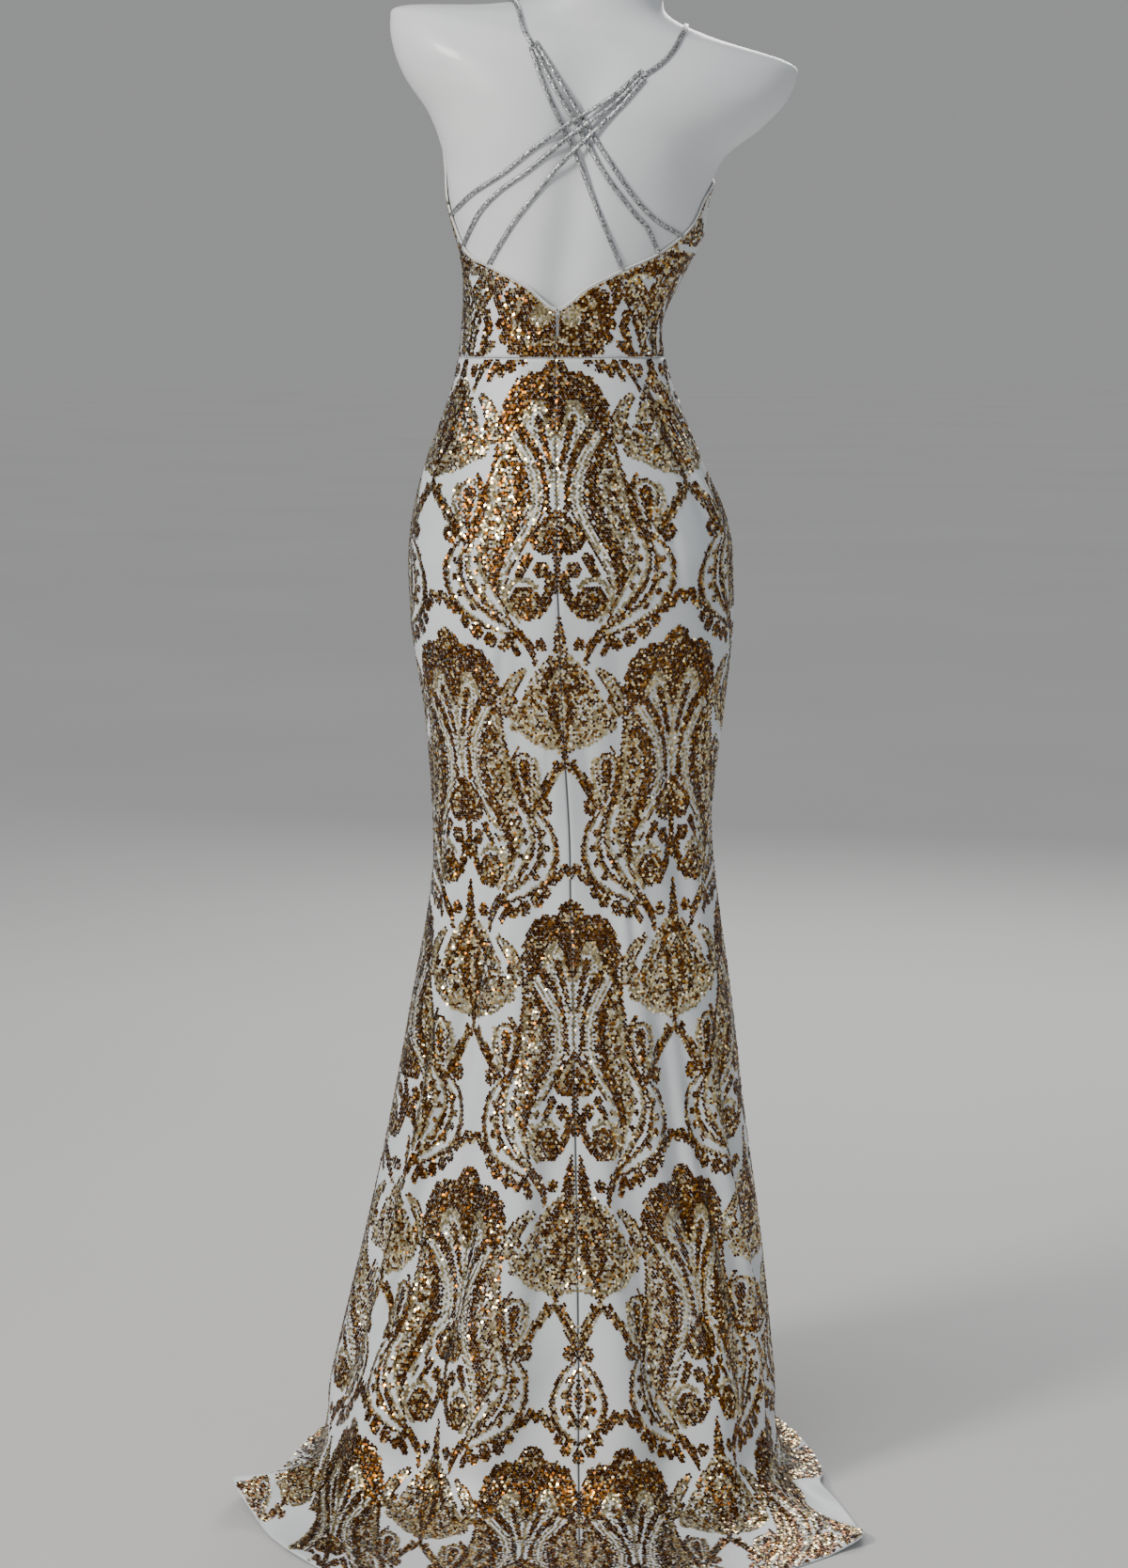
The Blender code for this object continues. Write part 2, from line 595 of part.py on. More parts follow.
def make_zip(collection):
    """The tape behind the centre-back seam, the slider, and the pull tab on its hinge."""
    back = bodice_point(0.0, 0.0)
    slider_top = back.z - 0.0008
    face = RING["back"].at(slider_top - SLIDER_SIZE[2] / 2) + REST + 0.0004
    centre = RING["centre"].at(slider_top)

    def tape_point(turn, fall):
        height = back.z - 0.002 + (TAPE_END - back.z + 0.002) * fall
        return leaned(ring_point(turn, height, CLOTH + TAPE_BEHIND))

    half = math.degrees(TAPE_WIDTH / 2 / 0.115)
    sheet("zip_tape", tape_point, spaced(-half, half, 4), spaced(0.0, 1.0, 14),
          collection, "zip_tape", TAPE_WALL)

    body = bmesh.new()
    bmesh.ops.create_cube(body, size=1.0)
    bmesh.ops.scale(body, vec=SLIDER_SIZE, verts=body.verts)
    bmesh.ops.bevel(
        body, geom=body.edges[:], offset=0.0008, segments=2, profile=0.5,
        affect="EDGES", material=-1,
    )
    middle = Vector((centre, face + SLIDER_SIZE[1] / 2, slider_top - SLIDER_SIZE[2] / 2))
    bmesh.ops.translate(body, verts=body.verts, vec=middle)
    mesh = bpy.data.meshes.new("zip_slider")
    body.to_mesh(mesh)
    body.free()
    slider = placed("zip_slider", mesh, collection, "zip_metal")

    hinge = Vector((centre, face + SLIDER_SIZE[1] + BAIL_WIRE + PULL_BAR, middle.z + 0.0004))
    leg = hinge.y - face - SLIDER_SIZE[1] / 2
    arch = [Vector((centre, hinge.y - leg, hinge.z + BAIL_RADIUS))]
    for step in range(13):
        angle = math.radians(90 - 15 * step)
        out = Vector((0.0, BAIL_RADIUS * math.cos(angle), BAIL_RADIUS * math.sin(angle)))
        arch.append(hinge + out)
    arch.append(Vector((centre, hinge.y - leg, hinge.z - BAIL_RADIUS)))
    bail = as_mesh(tube("zip_bail", arch, BAIL_WIRE, collection, "zip_metal", resolution=2))
    bpy.data.collections["cutters"].objects.link(bail)
    collection.objects.unlink(bail)
    bail.hide_render = True
    bail.display_type = "WIRE"
    union = slider.modifiers.new("bail", "BOOLEAN")
    union.operation = "UNION"
    union.object = bail

    # The tab is drawn round its hinge: its top bar is the axis, with the window just below it.
    tab = bpy.data.curves.new("zip_pull", "CURVE")
    tab.dimensions = "2D"
    tab.fill_mode = "BOTH"
    tab.extrude = PULL_WALL / 2
    tab.resolution_u = 1
    half, foot = PULL_WIDTH / 2, PULL_BAR - PULL_LENGTH
    outline = [(half * 0.95, PULL_BAR - 0.0009), (half * 0.6, PULL_BAR), (-half * 0.6, PULL_BAR),
               (-half * 0.95, PULL_BAR - 0.0009), (-half, -0.004), (-half * 0.8, foot + half)]
    for step in range(9):
        angle = math.radians(180 + 22.5 * step)
        outline.append((half * 0.8 * math.cos(angle), foot + half * 0.8 + half * 0.8 * math.sin(angle)))
    outline += [(half * 0.8, foot + half), (half, -0.004)]
    gap = half - 0.00065
    window = [(gap, -PULL_BAR), (-gap, -PULL_BAR), (-gap, -PULL_BAR - PULL_WINDOW),
              (gap, -PULL_BAR - PULL_WINDOW)]
    for ring in (outline, window):
        spline = tab.splines.new("POLY")
        spline.points.add(len(ring) - 1)
        spline.use_cyclic_u = True
        for target, (x, y) in zip(spline.points, ring):
            target.co = (x, y, 0.0, 1.0)
    tab.materials.append(finish("zip_metal"))
    pull = bpy.data.objects.new("zip_pull", tab)
    collection.objects.link(pull)
    pull.rotation_euler = (math.radians(90), 0.0, 0.0)
    pull.location = hinge
    weld = pull.modifiers.new("weld", "WELD")
    weld.merge_threshold = 1e-6


def main():
    for obj in list(bpy.data.objects):
        bpy.data.objects.remove(obj, do_unlink=True)
    gown = bpy.data.collections.new("evening_gown")
    cutters = bpy.data.collections.new("cutters")
    for collection in (gown, cutters):
        bpy.context.scene.collection.children.link(collection)
    form = make_form(gown)
    make_stand(gown)
    make_gown(gown)
    bpy.context.view_layer.update()
    make_straps(gown, form)
    make_zip(gown)


main()
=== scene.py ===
"""Looks of an evening gown with a sweep train, standing on a limbless dress form.

Metres, +Z up. The wearer's front faces -Y and the wearer's left is +X. Every piece of cloth lies on
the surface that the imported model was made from, repeated here at fine resolution. A "turn" is the
angle round the figure in degrees: 0 at the centre back, positive towards the wearer's left.
"""

from __future__ import annotations

import logging
import math
from dataclasses import dataclass, field
from enum import Enum
from typing import Callable, NamedTuple, Sequence

import bmesh
import bpy
import numpy as np
from mathutils import Matrix, Vector
from mathutils.bvhtree import BVHTree


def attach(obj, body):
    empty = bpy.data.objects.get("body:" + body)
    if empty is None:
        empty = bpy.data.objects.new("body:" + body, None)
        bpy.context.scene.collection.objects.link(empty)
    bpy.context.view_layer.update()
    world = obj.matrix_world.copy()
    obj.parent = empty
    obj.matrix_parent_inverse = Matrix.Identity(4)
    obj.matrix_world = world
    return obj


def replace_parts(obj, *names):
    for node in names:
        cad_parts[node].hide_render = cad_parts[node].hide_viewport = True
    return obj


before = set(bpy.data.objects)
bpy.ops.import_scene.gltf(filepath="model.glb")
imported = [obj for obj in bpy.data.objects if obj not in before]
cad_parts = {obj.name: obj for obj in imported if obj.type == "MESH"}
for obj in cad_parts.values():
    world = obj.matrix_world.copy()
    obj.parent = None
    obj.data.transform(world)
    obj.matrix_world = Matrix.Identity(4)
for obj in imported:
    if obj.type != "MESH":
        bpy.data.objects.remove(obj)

LOG = logging.getLogger("gown")
Array = np.ndarray

WAIST = 1.215            # height of the waist seam
SIDE = 88.0              # turn of the side seams
SEAM = 0.0004            # gap between two pieces that meet
CLOTH = 0.0016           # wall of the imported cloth
FLOOR_GAP = 0.0003       # gap under what lies on the floor
FORM_INSET = 0.0052      # dress form's surface, inside the cloth's outer face


class Section(NamedTuple):
    """One ring of the figure: its height, centre and half sizes, and how blunt its ends are."""

    height: float
    centre: float
    left: float
    right: float
    back: float
    front: float
    square: float


SECTIONS = [
    Section(0.000, -0.016, 0.277, 0.217, 0.205, 0.270, 0.00),
    Section(0.090, -0.015, 0.273, 0.217, 0.183, 0.256, 0.00),
    Section(0.150, -0.015, 0.260, 0.212, 0.170, 0.240, 0.00),
    Section(0.280, -0.014, 0.228, 0.199, 0.148, 0.207, 0.00),
    Section(0.400, -0.012, 0.200, 0.184, 0.130, 0.178, 0.00),
    Section(0.530, -0.010, 0.174, 0.171, 0.113, 0.152, 0.00),
    Section(0.650, -0.007, 0.150, 0.157, 0.101, 0.134, 0.00),
    Section(0.714, -0.006, 0.146, 0.152, 0.099, 0.128, 0.00),
    Section(0.836, 0.001, 0.147, 0.171, 0.112, 0.126, 0.00),
    Section(0.945, 0.005, 0.158, 0.185, 0.128, 0.124, 0.00),
    Section(1.000, 0.007, 0.158, 0.186, 0.127, 0.120, 0.00),
    Section(1.050, 0.007, 0.153, 0.178, 0.117, 0.115, 0.00),
    Section(1.100, 0.008, 0.140, 0.157, 0.103, 0.108, 0.00),
    Section(1.166, 0.009, 0.115, 0.131, 0.085, 0.096, 0.00),
    Section(1.215, 0.009, 0.102, 0.115, 0.076, 0.090, 0.00),
    Section(1.250, 0.008, 0.099, 0.111, 0.076, 0.093, 0.00),
    Section(1.304, 0.001, 0.106, 0.124, 0.083, 0.112, 0.00),
    Section(1.362, -0.008, 0.132, 0.140, 0.091, 0.137, 0.00),
    Section(1.400, -0.011, 0.140, 0.143, 0.094, 0.134, 0.00),
    Section(1.446, -0.014, 0.160, 0.160, 0.096, 0.112, 0.00),
    Section(1.480, -0.020, 0.192, 0.192, 0.093, 0.096, 0.15),
    Section(1.510, -0.027, 0.211, 0.211, 0.085, 0.084, 0.30),
    Section(1.535, -0.031, 0.217, 0.217, 0.072, 0.070, 0.30),
    Section(1.550, -0.033, 0.203, 0.203, 0.060, 0.060, 0.30),
    Section(1.561, -0.036, 0.130, 0.130, 0.055, 0.057, 0.15),
    Section(1.575, -0.039, 0.078, 0.078, 0.054, 0.058, 0.00),
    Section(1.600, -0.044, 0.064, 0.064, 0.053, 0.061, 0.00),
    Section(1.640, -0.050, 0.062, 0.062, 0.050, 0.064, 0.00),
]


class Edge(NamedTuple):
    """The neckline's height at one turn."""

    turn: float
    height: float


NECKLINE = [
    Edge(-180.0, 1.372), Edge(-150.0, 1.418), Edge(-120.0, 1.422), Edge(-95.0, 1.418),
    Edge(-79.0, 1.403), Edge(-68.0, 1.375), Edge(-58.0, 1.352), Edge(-47.0, 1.330),
    Edge(-30.0, 1.308), Edge(-15.0, 1.288), Edge(0.0, 1.264), Edge(21.0, 1.286),
    Edge(49.0, 1.305), Edge(65.0, 1.312), Edge(76.0, 1.323), Edge(85.0, 1.347),
    Edge(93.0, 1.380), Edge(102.0, 1.410), Edge(120.0, 1.422), Edge(150.0, 1.418),
    Edge(180.0, 1.372),
]


class Flute(NamedTuple):
    """A flute of the skirt: a ridge, or a trough where the depth is negative."""

    turn: float
    width: float
    start: float
    depth: float


FLUTES = [
    Flute(-62.0, 9.0, 0.70, 0.010), Flute(-43.0, 7.0, 0.45, 0.020),
    Flute(-28.0, 7.0, 0.55, -0.012), Flute(-11.0, 7.0, 0.60, 0.009),
    Flute(7.0, 7.0, 0.55, -0.009), Flute(23.0, 8.0, 0.60, 0.011),
    Flute(39.0, 7.0, 0.65, -0.011), Flute(56.0, 9.0, 0.70, 0.014),
    Flute(74.0, 7.0, 0.50, -0.009), Flute(-76.0, 8.0, 0.50, -0.009),
    Flute(112.0, 11.0, 0.60, 0.013), Flute(135.0, 10.0, 0.60, -0.011),
    Flute(159.0, 11.0, 0.65, 0.013), Flute(-170.0, 10.0, 0.60, -0.011),
    Flute(-145.0, 12.0, 0.60, 0.013), Flute(-119.0, 10.0, 0.60, -0.010),
]


class Hem(NamedTuple):
    """Where the hem lies, how far it lifts, and how high the cloth turns out above it."""

    turn: float
    side: float
    behind: float
    lift: float
    break_height: float


HEM = [
    Hem(-180.0, 0.000, -0.305, 0.000, 0.060), Hem(-150.0, -0.140, -0.270, 0.000, 0.060),
    Hem(-120.0, -0.238, -0.165, 0.004, 0.060), Hem(-105.0, -0.267, -0.093, 0.002, 0.060),
    Hem(-95.0, -0.280, -0.032, 0.000, 0.070), Hem(-86.0, -0.284, 0.029, 0.004, 0.080),
    Hem(-78.0, -0.277, 0.080, 0.010, 0.090), Hem(-69.0, -0.296, 0.135, 0.002, 0.095),
    Hem(-61.0, -0.308, 0.190, 0.000, 0.095), Hem(-54.0, -0.311, 0.236, 0.010, 0.090),
    Hem(-47.0, -0.280, 0.268, 0.002, 0.080), Hem(-38.0, -0.235, 0.308, 0.000, 0.070),
    Hem(-25.0, -0.165, 0.363, 0.004, 0.065), Hem(-12.0, -0.090, 0.402, 0.000, 0.060),
    Hem(0.0, -0.016, 0.420, 0.003, 0.060), Hem(13.0, 0.075, 0.415, 0.000, 0.060),
    Hem(27.0, 0.160, 0.380, 0.004, 0.060), Hem(40.0, 0.232, 0.328, 0.000, 0.070),
    Hem(51.0, 0.277, 0.276, 0.003, 0.085), Hem(60.0, 0.303, 0.228, 0.002, 0.100),
    Hem(67.0, 0.327, 0.180, 0.012, 0.115), Hem(73.0, 0.352, 0.135, 0.034, 0.120),
    Hem(79.0, 0.345, 0.085, 0.012, 0.110), Hem(86.0, 0.315, 0.030, 0.004, 0.095),
    Hem(97.0, 0.290, -0.040, 0.014, 0.080), Hem(120.0, 0.262, -0.155, 0.002, 0.060),
    Hem(150.0, 0.155, -0.268, 0.000, 0.060), Hem(180.0, 0.000, -0.305, 0.000, 0.060),
]


class Crease(NamedTuple):
    """A soft trough or ridge: where it is, which way it leans, its half length, width and depth."""

    turn: float
    height: float
    lean: float
    length: float
    width: float
    depth: float


CREASES = [
    # pulls just under the waist seam
    Crease(-52.0, 1.185, 62.0, 0.045, 0.008, -0.0022), Crease(-38.0, 1.192, 70.0, 0.040, 0.007, 0.0016),
    Crease(-64.0, 1.165, 50.0, 0.060, 0.009, -0.0024), Crease(34.0, 1.194, -66.0, 0.034, 0.007, -0.0018),
    Crease(50.0, 1.186, -74.0, 0.045, 0.008, 0.0018), Crease(66.0, 1.170, -58.0, 0.050, 0.009, -0.0020),
    Crease(-14.0, 1.200, 84.0, 0.030, 0.006, -0.0014), Crease(12.0, 1.199, -84.0, 0.030, 0.006, -0.0014),
    # soft upright folds over the wearer's right hip and behind the knees
    Crease(-58.0, 1.120, 4.0, 0.070, 0.010, -0.0034), Crease(-68.0, 1.100, 7.0, 0.085, 0.011, 0.0030),
    Crease(-76.0, 1.110, 2.0, 0.060, 0.009, -0.0026), Crease(-20.0, 0.860, 3.0, 0.100, 0.013, -0.0026),
    Crease(18.0, 0.880, -4.0, 0.110, 0.014, -0.0028), Crease(6.0, 0.840, -1.0, 0.120, 0.010, 0.0020),
    Crease(-6.0, 0.800, 2.0, 0.130, 0.012, -0.0030), Crease(31.0, 0.790, -6.0, 0.110, 0.014, 0.0026),
    Crease(-34.0, 0.770, 5.0, 0.120, 0.014, 0.0028), Crease(-47.0, 0.700, 4.0, 0.130, 0.013, -0.0030),
    Crease(44.0, 0.720, -5.0, 0.120, 0.014, -0.0030), Crease(12.0, 0.620, -2.0, 0.140, 0.015, -0.0036),
    Crease(-14.0, 0.590, 3.0, 0.150, 0.016, -0.0036), Crease(60.0, 0.620, -4.0, 0.140, 0.016, 0.0036),
    Crease(-60.0, 0.600, 5.0, 0.150, 0.016, 0.0034), Crease(27.0, 0.500, -3.0, 0.160, 0.017, 0.0040),
    Crease(-30.0, 0.480, 3.0, 0.160, 0.017, 0.0038),
    # deep folds that open towards the train
    Crease(50.0, 0.330, -6.0, 0.240, 0.015, -0.0150), Crease(33.0, 0.300, -3.0, 0.200, 0.013, -0.0105),
    Crease(-37.0, 0.330, 4.0, 0.250, 0.013, -0.0150), Crease(-51.0, 0.300, 6.0, 0.210, 0.013, -0.0115),
    Crease(-20.0, 0.290, 3.0, 0.200, 0.014, -0.0095), Crease(15.0, 0.330, -2.0, 0.220, 0.012, 0.0080),
    Crease(67.0, 0.340, -5.0, 0.210, 0.015, -0.0125), Crease(-68.0, 0.320, 4.0, 0.210, 0.015, -0.0110),
    # the train's own buckles
    Crease(-20.0, 0.120, 20.0, 0.080, 0.014, 0.0040), Crease(10.0, 0.110, -16.0, 0.070, 0.013, -0.0040),
    Crease(36.0, 0.150, -24.0, 0.090, 0.015, 0.0046), Crease(-48.0, 0.170, 26.0, 0.090, 0.014, -0.0046),
    Crease(58.0, 0.200, -18.0, 0.100, 0.015, -0.0048), Crease(-66.0, 0.210, 14.0, 0.100, 0.014, 0.0040),
    # short fine ones between the motifs
    Crease(24.0, 0.895, -9.0, 0.030, 0.0048, -0.0020), Crease(27.5, 0.885, -8.0, 0.026, 0.0045, 0.0016),
    Crease(-24.0, 0.630, 2.0, 0.055, 0.0055, -0.0026), Crease(-28.0, 0.640, 3.0, 0.050, 0.0055, 0.0022),
    Crease(-20.5, 0.620, 1.0, 0.045, 0.0050, 0.0018), Crease(-9.0, 0.780, 5.0, 0.040, 0.0050, -0.0022),
    Crease(7.5, 0.770, -5.0, 0.045, 0.0050, -0.0022), Crease(-4.5, 0.480, 3.0, 0.070, 0.0065, -0.0030),
    Crease(5.0, 0.500, -3.0, 0.070, 0.0065, -0.0032), Crease(19.0, 0.560, -4.0, 0.060, 0.0060, 0.0026),
    Crease(36.0, 0.600, -5.0, 0.060, 0.0060, -0.0028), Crease(-40.0, 0.560, 5.0, 0.070, 0.0065, -0.0030),
    Crease(-14.0, 0.310, 2.0, 0.080, 0.0070, -0.0036), Crease(9.0, 0.300, -2.0, 0.080, 0.0070, -0.0036),
    Crease(-42.0, 1.010, 6.0, 0.035, 0.0055, -0.0018), Crease(45.0, 1.000, -6.0, 0.035, 0.0055, -0.0018),
    # the front's, of the same kind
    Crease(165.0, 0.620, -3.0, 0.060, 0.0060, -0.0026), Crease(-172.0, 0.560, 3.0, 0.070, 0.0065, -0.0028),
    Crease(150.0, 0.450, -4.0, 0.080, 0.0070, 0.0030), Crease(-150.0, 0.460, 4.0, 0.080, 0.0070, -0.0030),
    Crease(128.0, 1.190, -66.0, 0.045, 0.008, -0.0018), Crease(-130.0, 1.188, 62.0, 0.045, 0.008, -0.0020),
    Crease(150.0, 1.060, -40.0, 0.060, 0.011, 0.0018), Crease(-154.0, 1.050, 44.0, 0.060, 0.011, 0.0018),
    Crease(166.0, 0.760, -3.0, 0.140, 0.015, -0.0030), Crease(-164.0, 0.720, 4.0, 0.140, 0.015, -0.0032),
    Crease(142.0, 0.640, -5.0, 0.140, 0.016, 0.0034), Crease(-138.0, 0.600, 4.0, 0.150, 0.016, 0.0034),
    Crease(116.0, 0.560, -4.0, 0.140, 0.016, -0.0034), Crease(-112.0, 0.580, 5.0, 0.140, 0.016, -0.0032),
    Crease(123.0, 0.300, -3.0, 0.210, 0.015, -0.0125), Crease(147.0, 0.320, -2.0, 0.200, 0.013, 0.0090),
    Crease(171.0, 0.290, 2.0, 0.210, 0.015, -0.0115), Crease(-158.0, 0.330, 3.0, 0.200, 0.013, 0.0090),
    Crease(-131.0, 0.300, 4.0, 0.220, 0.015, -0.0125), Crease(-106.0, 0.320, 5.0, 0.210, 0.015, -0.0110),
]


class Tack(NamedTuple):
    """Where a tack lies on the form's back, and which way the back straps leave it."""

    side: float
    height: float
    run_side: float
    run_height: float


TACKS = {
    "left": Tack(0.0310, 1.5300, -0.588, -0.809),
    "right": Tack(-0.0805, 1.5005, 0.829, -0.559),
}


class BackStrap(NamedTuple):
    """A back strap: its tack, its place there, the turn of its end, and its way between."""

    tack: str
    slot: int
    turn: float
    route: list[tuple[float, float]]


BACK_STRAPS = {
    "strap_back_left_1": BackStrap("left", 1, -30.0, [
        (0.020, 1.490), (0.002, 1.450), (-0.012, 1.422), (-0.031, 1.374), (-0.047, 1.336)]),
    "strap_back_left_2": BackStrap("left", 0, -47.0, [
        (0.010, 1.490), (-0.011, 1.455), (-0.025, 1.430), (-0.045, 1.397), (-0.070, 1.365),
        (-0.087, 1.346)]),
    "strap_back_left_3": BackStrap("left", -1, -58.5, [
        (0.003, 1.494), (-0.018, 1.459), (-0.037, 1.429), (-0.055, 1.402), (-0.074, 1.376),
        (-0.096, 1.355)]),
    "strap_back_right_1": BackStrap("right", 1, 85.5, [
        (-0.050, 1.480), (-0.013, 1.457), (0.029, 1.429), (0.063, 1.403), (0.094, 1.384)]),
    "strap_back_right_2": BackStrap("right", 0, 75.0, [
        (-0.053, 1.474), (-0.019, 1.449), (0.000, 1.435), (0.039, 1.404), (0.068, 1.384),
        (0.089, 1.362)]),
    "strap_back_right_3": BackStrap("right", -1, 48.0, [
        (-0.056, 1.468), (-0.026, 1.440), (0.000, 1.415), (0.024, 1.388), (0.053, 1.352)]),
}


class ShoulderStrap(NamedTuple):
    """A shoulder strap: the turn of its front end, and guides over the shoulder."""

    turn: float
    guides: list[tuple[float, float, float]]


SHOULDER_STRAPS = {
    "left": ShoulderStrap(149.0, [
        (0.040, 0.075, 1.550), (0.047, 0.050, 1.572), (0.055, 0.015, 1.590),
        (0.059, -0.025, 1.590), (0.062, -0.060, 1.560), (0.064, -0.100, 1.520),
        (0.066, -0.130, 1.470)]),
    "right": ShoulderStrap(-144.0, [
        (-0.096, 0.085, 1.514), (-0.112, 0.070, 1.530), (-0.128, 0.035, 1.560),
        (-0.131, -0.010, 1.565), (-0.125, -0.055, 1.545), (-0.112, -0.100, 1.500),
        (-0.101, -0.130, 1.455)]),
}


def smooth(value: Array) -> Array:
    """0 below 0, 1 above 1, and an S-curve between."""
    value = np.clip(value, 0.0, 1.0)
    return value * value * (3.0 - 2.0 * value)


def turned(turn: Array) -> Array:
    """The same turn, from -180 to 180."""
    return (np.asarray(turn, float) + 180.0) % 360.0 - 180.0


def unit(vectors: Array) -> Array:
    """The vectors, each made one long."""
    return vectors / np.maximum(np.linalg.norm(vectors, axis=-1, keepdims=True), 1e-12)


def run_lengths(points: Array) -> Array:
    """How far along a line each of its points is."""
    return np.concatenate([[0.0], np.cumsum(np.linalg.norm(np.diff(points, axis=0), axis=1))])


def softened(values: Array, times: int) -> Array:
    """The values, with each inner one drawn towards its neighbours that many times."""
    values = np.array(values)
    for _ in range(times):
        values[1:-1] = (values[:-2] + 2 * values[1:-1] + values[2:]) / 4
    return values


class Track:
    """A smooth curve through one column of a table, by its key column."""

    def __init__(self, keys: Sequence[float], values: Sequence[float]) -> None:
        """Keeps the column and works out its slopes.

        Args:
            keys: The table's key column, rising.
            values: The column that the curve passes through.
        """
        self.keys, self.values = np.array(keys), np.array(values)
        steps = np.diff(self.values) / np.diff(self.keys)
        inner = np.where(steps[1:] * steps[:-1] > 0, 0.5 * (steps[1:] + steps[:-1]), 0.0)
        self.slopes = np.concatenate([steps[:1], inner, steps[-1:]])

    def __call__(self, key: Array) -> Array:
        """The curve's value at each key."""
        key = np.clip(key, self.keys[0], self.keys[-1])
        low = np.clip(np.searchsorted(self.keys, key, side="right") - 1, 0, len(self.keys) - 2)
        span = self.keys[low + 1] - self.keys[low]
        t = (key - self.keys[low]) / span
        return (
            self.values[low] * (1 + 2 * t) * (1 - t) ** 2
            + self.values[low + 1] * t * t * (3 - 2 * t)
            + span * t * (1 - t) * (self.slopes[low] * (1 - t) - self.slopes[low + 1] * t)
        )


def tracks(rows: Sequence[NamedTuple], key: str) -> dict[str, Track]:
    """A smooth curve for each column of a table.

    Args:
        rows: The table.
        key: The name of its key column.

    Returns:
        The curves by column name.
    """
    keys = [getattr(row, key) for row in rows]
    return {name: Track(keys, [getattr(row, name) for row in rows])
            for name in rows[0]._fields if name != key}


@dataclass
class Figure:
    """The figure's rings and the surfaces of the cloth over them."""

    roll: float = math.radians(8.2)
    roll_from: float = 1.220
    roll_to: float = 1.400
    spine_depth: float = 0.009
    spine_width: float = 0.022
    lying_share: float = 0.4     # how far towards the hem the cloth's curve on the floor is pulled
    corner_rise: float = 0.1     # share of the break's height that stays at its corner
    lying_lift: float = 0.7      # share of the hem's lift that reaches the curve
    ring: dict[str, Track] = field(default_factory=lambda: tracks(SECTIONS, "height"))
    hem: dict[str, Track] = field(default_factory=lambda: tracks(HEM, "turn"))
    neckline: Track = field(default_factory=lambda: tracks(NECKLINE, "turn")["height"])

    def ring_point(self, turn: Array, height: Array, inset: Array = 0.0, relief: Array = 0.0) -> Array:
        """Points of the figure's rings, before they lean.

        Args:
            turn: Turns in degrees.
            height: Heights.
            inset: How far inside the cloth's outer face.
            relief: Depth of the hollow of the spine.

        Returns:
            The points, with a last axis of three.
        """
        turn, height = np.broadcast_arrays(turned(turn), np.asarray(height, float))
        angle = np.radians(turn)
        sine, cosine = np.sin(angle), np.cos(angle)
        half = np.where(sine > 0, self.ring["left"](height), self.ring["right"](height)) - inset
        deep = np.where(cosine > 0, self.ring["back"](height), self.ring["front"](height)) - inset
        side = half * np.sign(sine) * np.abs(sine) ** (1.0 - self.ring["square"](height))
        groove = relief * np.exp(-((side / self.spine_width) ** 2)) * (cosine > 0)
        return np.stack([self.ring["centre"](height) + side, deep * cosine - groove, height], -1)

    def leaned(self, points: Array) -> Array:
        """The points with the rings of the upper body rolled towards the wearer's right."""
        x, y, z = np.moveaxis(points, -1, 0)
        roll = self.roll * smooth((z - self.roll_from) / (self.roll_to - self.roll_from))
        side = x - self.ring["centre"](z)
        return np.stack([x - side * (1 - np.cos(roll)), y, z + side * np.sin(roll)], -1)

    def bodice(self, turn: Array, fall: Array, inset: float = 0.0) -> Array:
        """Points of the bodice: fall is 0 at the neckline and 1 at the waist seam."""
        top, foot = self.neckline(turned(turn)), WAIST + SEAM / 2
        return self.leaned(self.ring_point(turn, top + (foot - top) * fall, inset))

    def hanging(self, turn: Array, height: Array, inset: float = 0.0) -> Array:
        """Points of the skirt above the floor, with its flutes."""
        points = self.ring_point(turn, height, inset)
        turn, height = np.broadcast_arrays(np.asarray(turn, float), np.asarray(height, float))
        push = np.zeros(turn.shape)
        for flute in FLUTES:
            away = turned(turn - flute.turn) / flute.width
            push += flute.depth * smooth(1.0 - height / flute.start) * np.exp(-away * away)
        angle = np.radians(turn)
        return points + push[..., None] * np.stack([np.sin(angle), np.cos(angle), 0 * angle], -1)

    def skirt(self, turn: Array, fall: Array, inset: float = 0.0) -> Array:
        """Points of the skirt: fall is 0 at the waist, 1 where the cloth turns out, 2 at the hem."""
        turn, fall = np.broadcast_arrays(np.asarray(turn, float), np.asarray(fall, float))
        hem = {name: track(turned(turn)) for name, track in self.hem.items()}
        top, floor = WAIST - SEAM / 2, CLOTH + FLOOR_GAP
        above = self.hanging(turn, top + (hem["break_height"] - top) * np.minimum(fall, 1), inset)
        t = np.clip(fall - 1.0, 0.0, 1.0)[..., None]
        corner = self.hanging(turn, np.zeros(turn.shape), inset)
        end = np.stack([hem["side"], hem["behind"], floor + hem["lift"]], -1)
        lying = corner * (1.0 - self.lying_share) + end * self.lying_share
        corner[..., 2] = floor + self.corner_rise * hem["break_height"]
        lying[..., 2] = floor + self.lying_lift * hem["lift"]
        below = (above * (1 - t) ** 3 + corner * 3 * t * (1 - t) ** 2
                 + lying * 3 * t * t * (1 - t) + end * t**3)
        return np.where(fall[..., None] <= 1.0, above, below)

    def off_neckline(self, turn: float, gap: float) -> Array:
        """A point off the neckline, square to it and in line with the cloth."""
        edge = self.bodice(turn, 0.0, CLOTH / 2)
        run = unit(self.bodice(turn + 1.0, 0.0) - self.bodice(turn - 1.0, 0.0))
        down = self.bodice(turn, 0.05) - self.bodice(turn, 0.0)
        down -= run * (down @ run)
        return edge - unit(down) * gap


FIGURE = Figure()


# Finishes


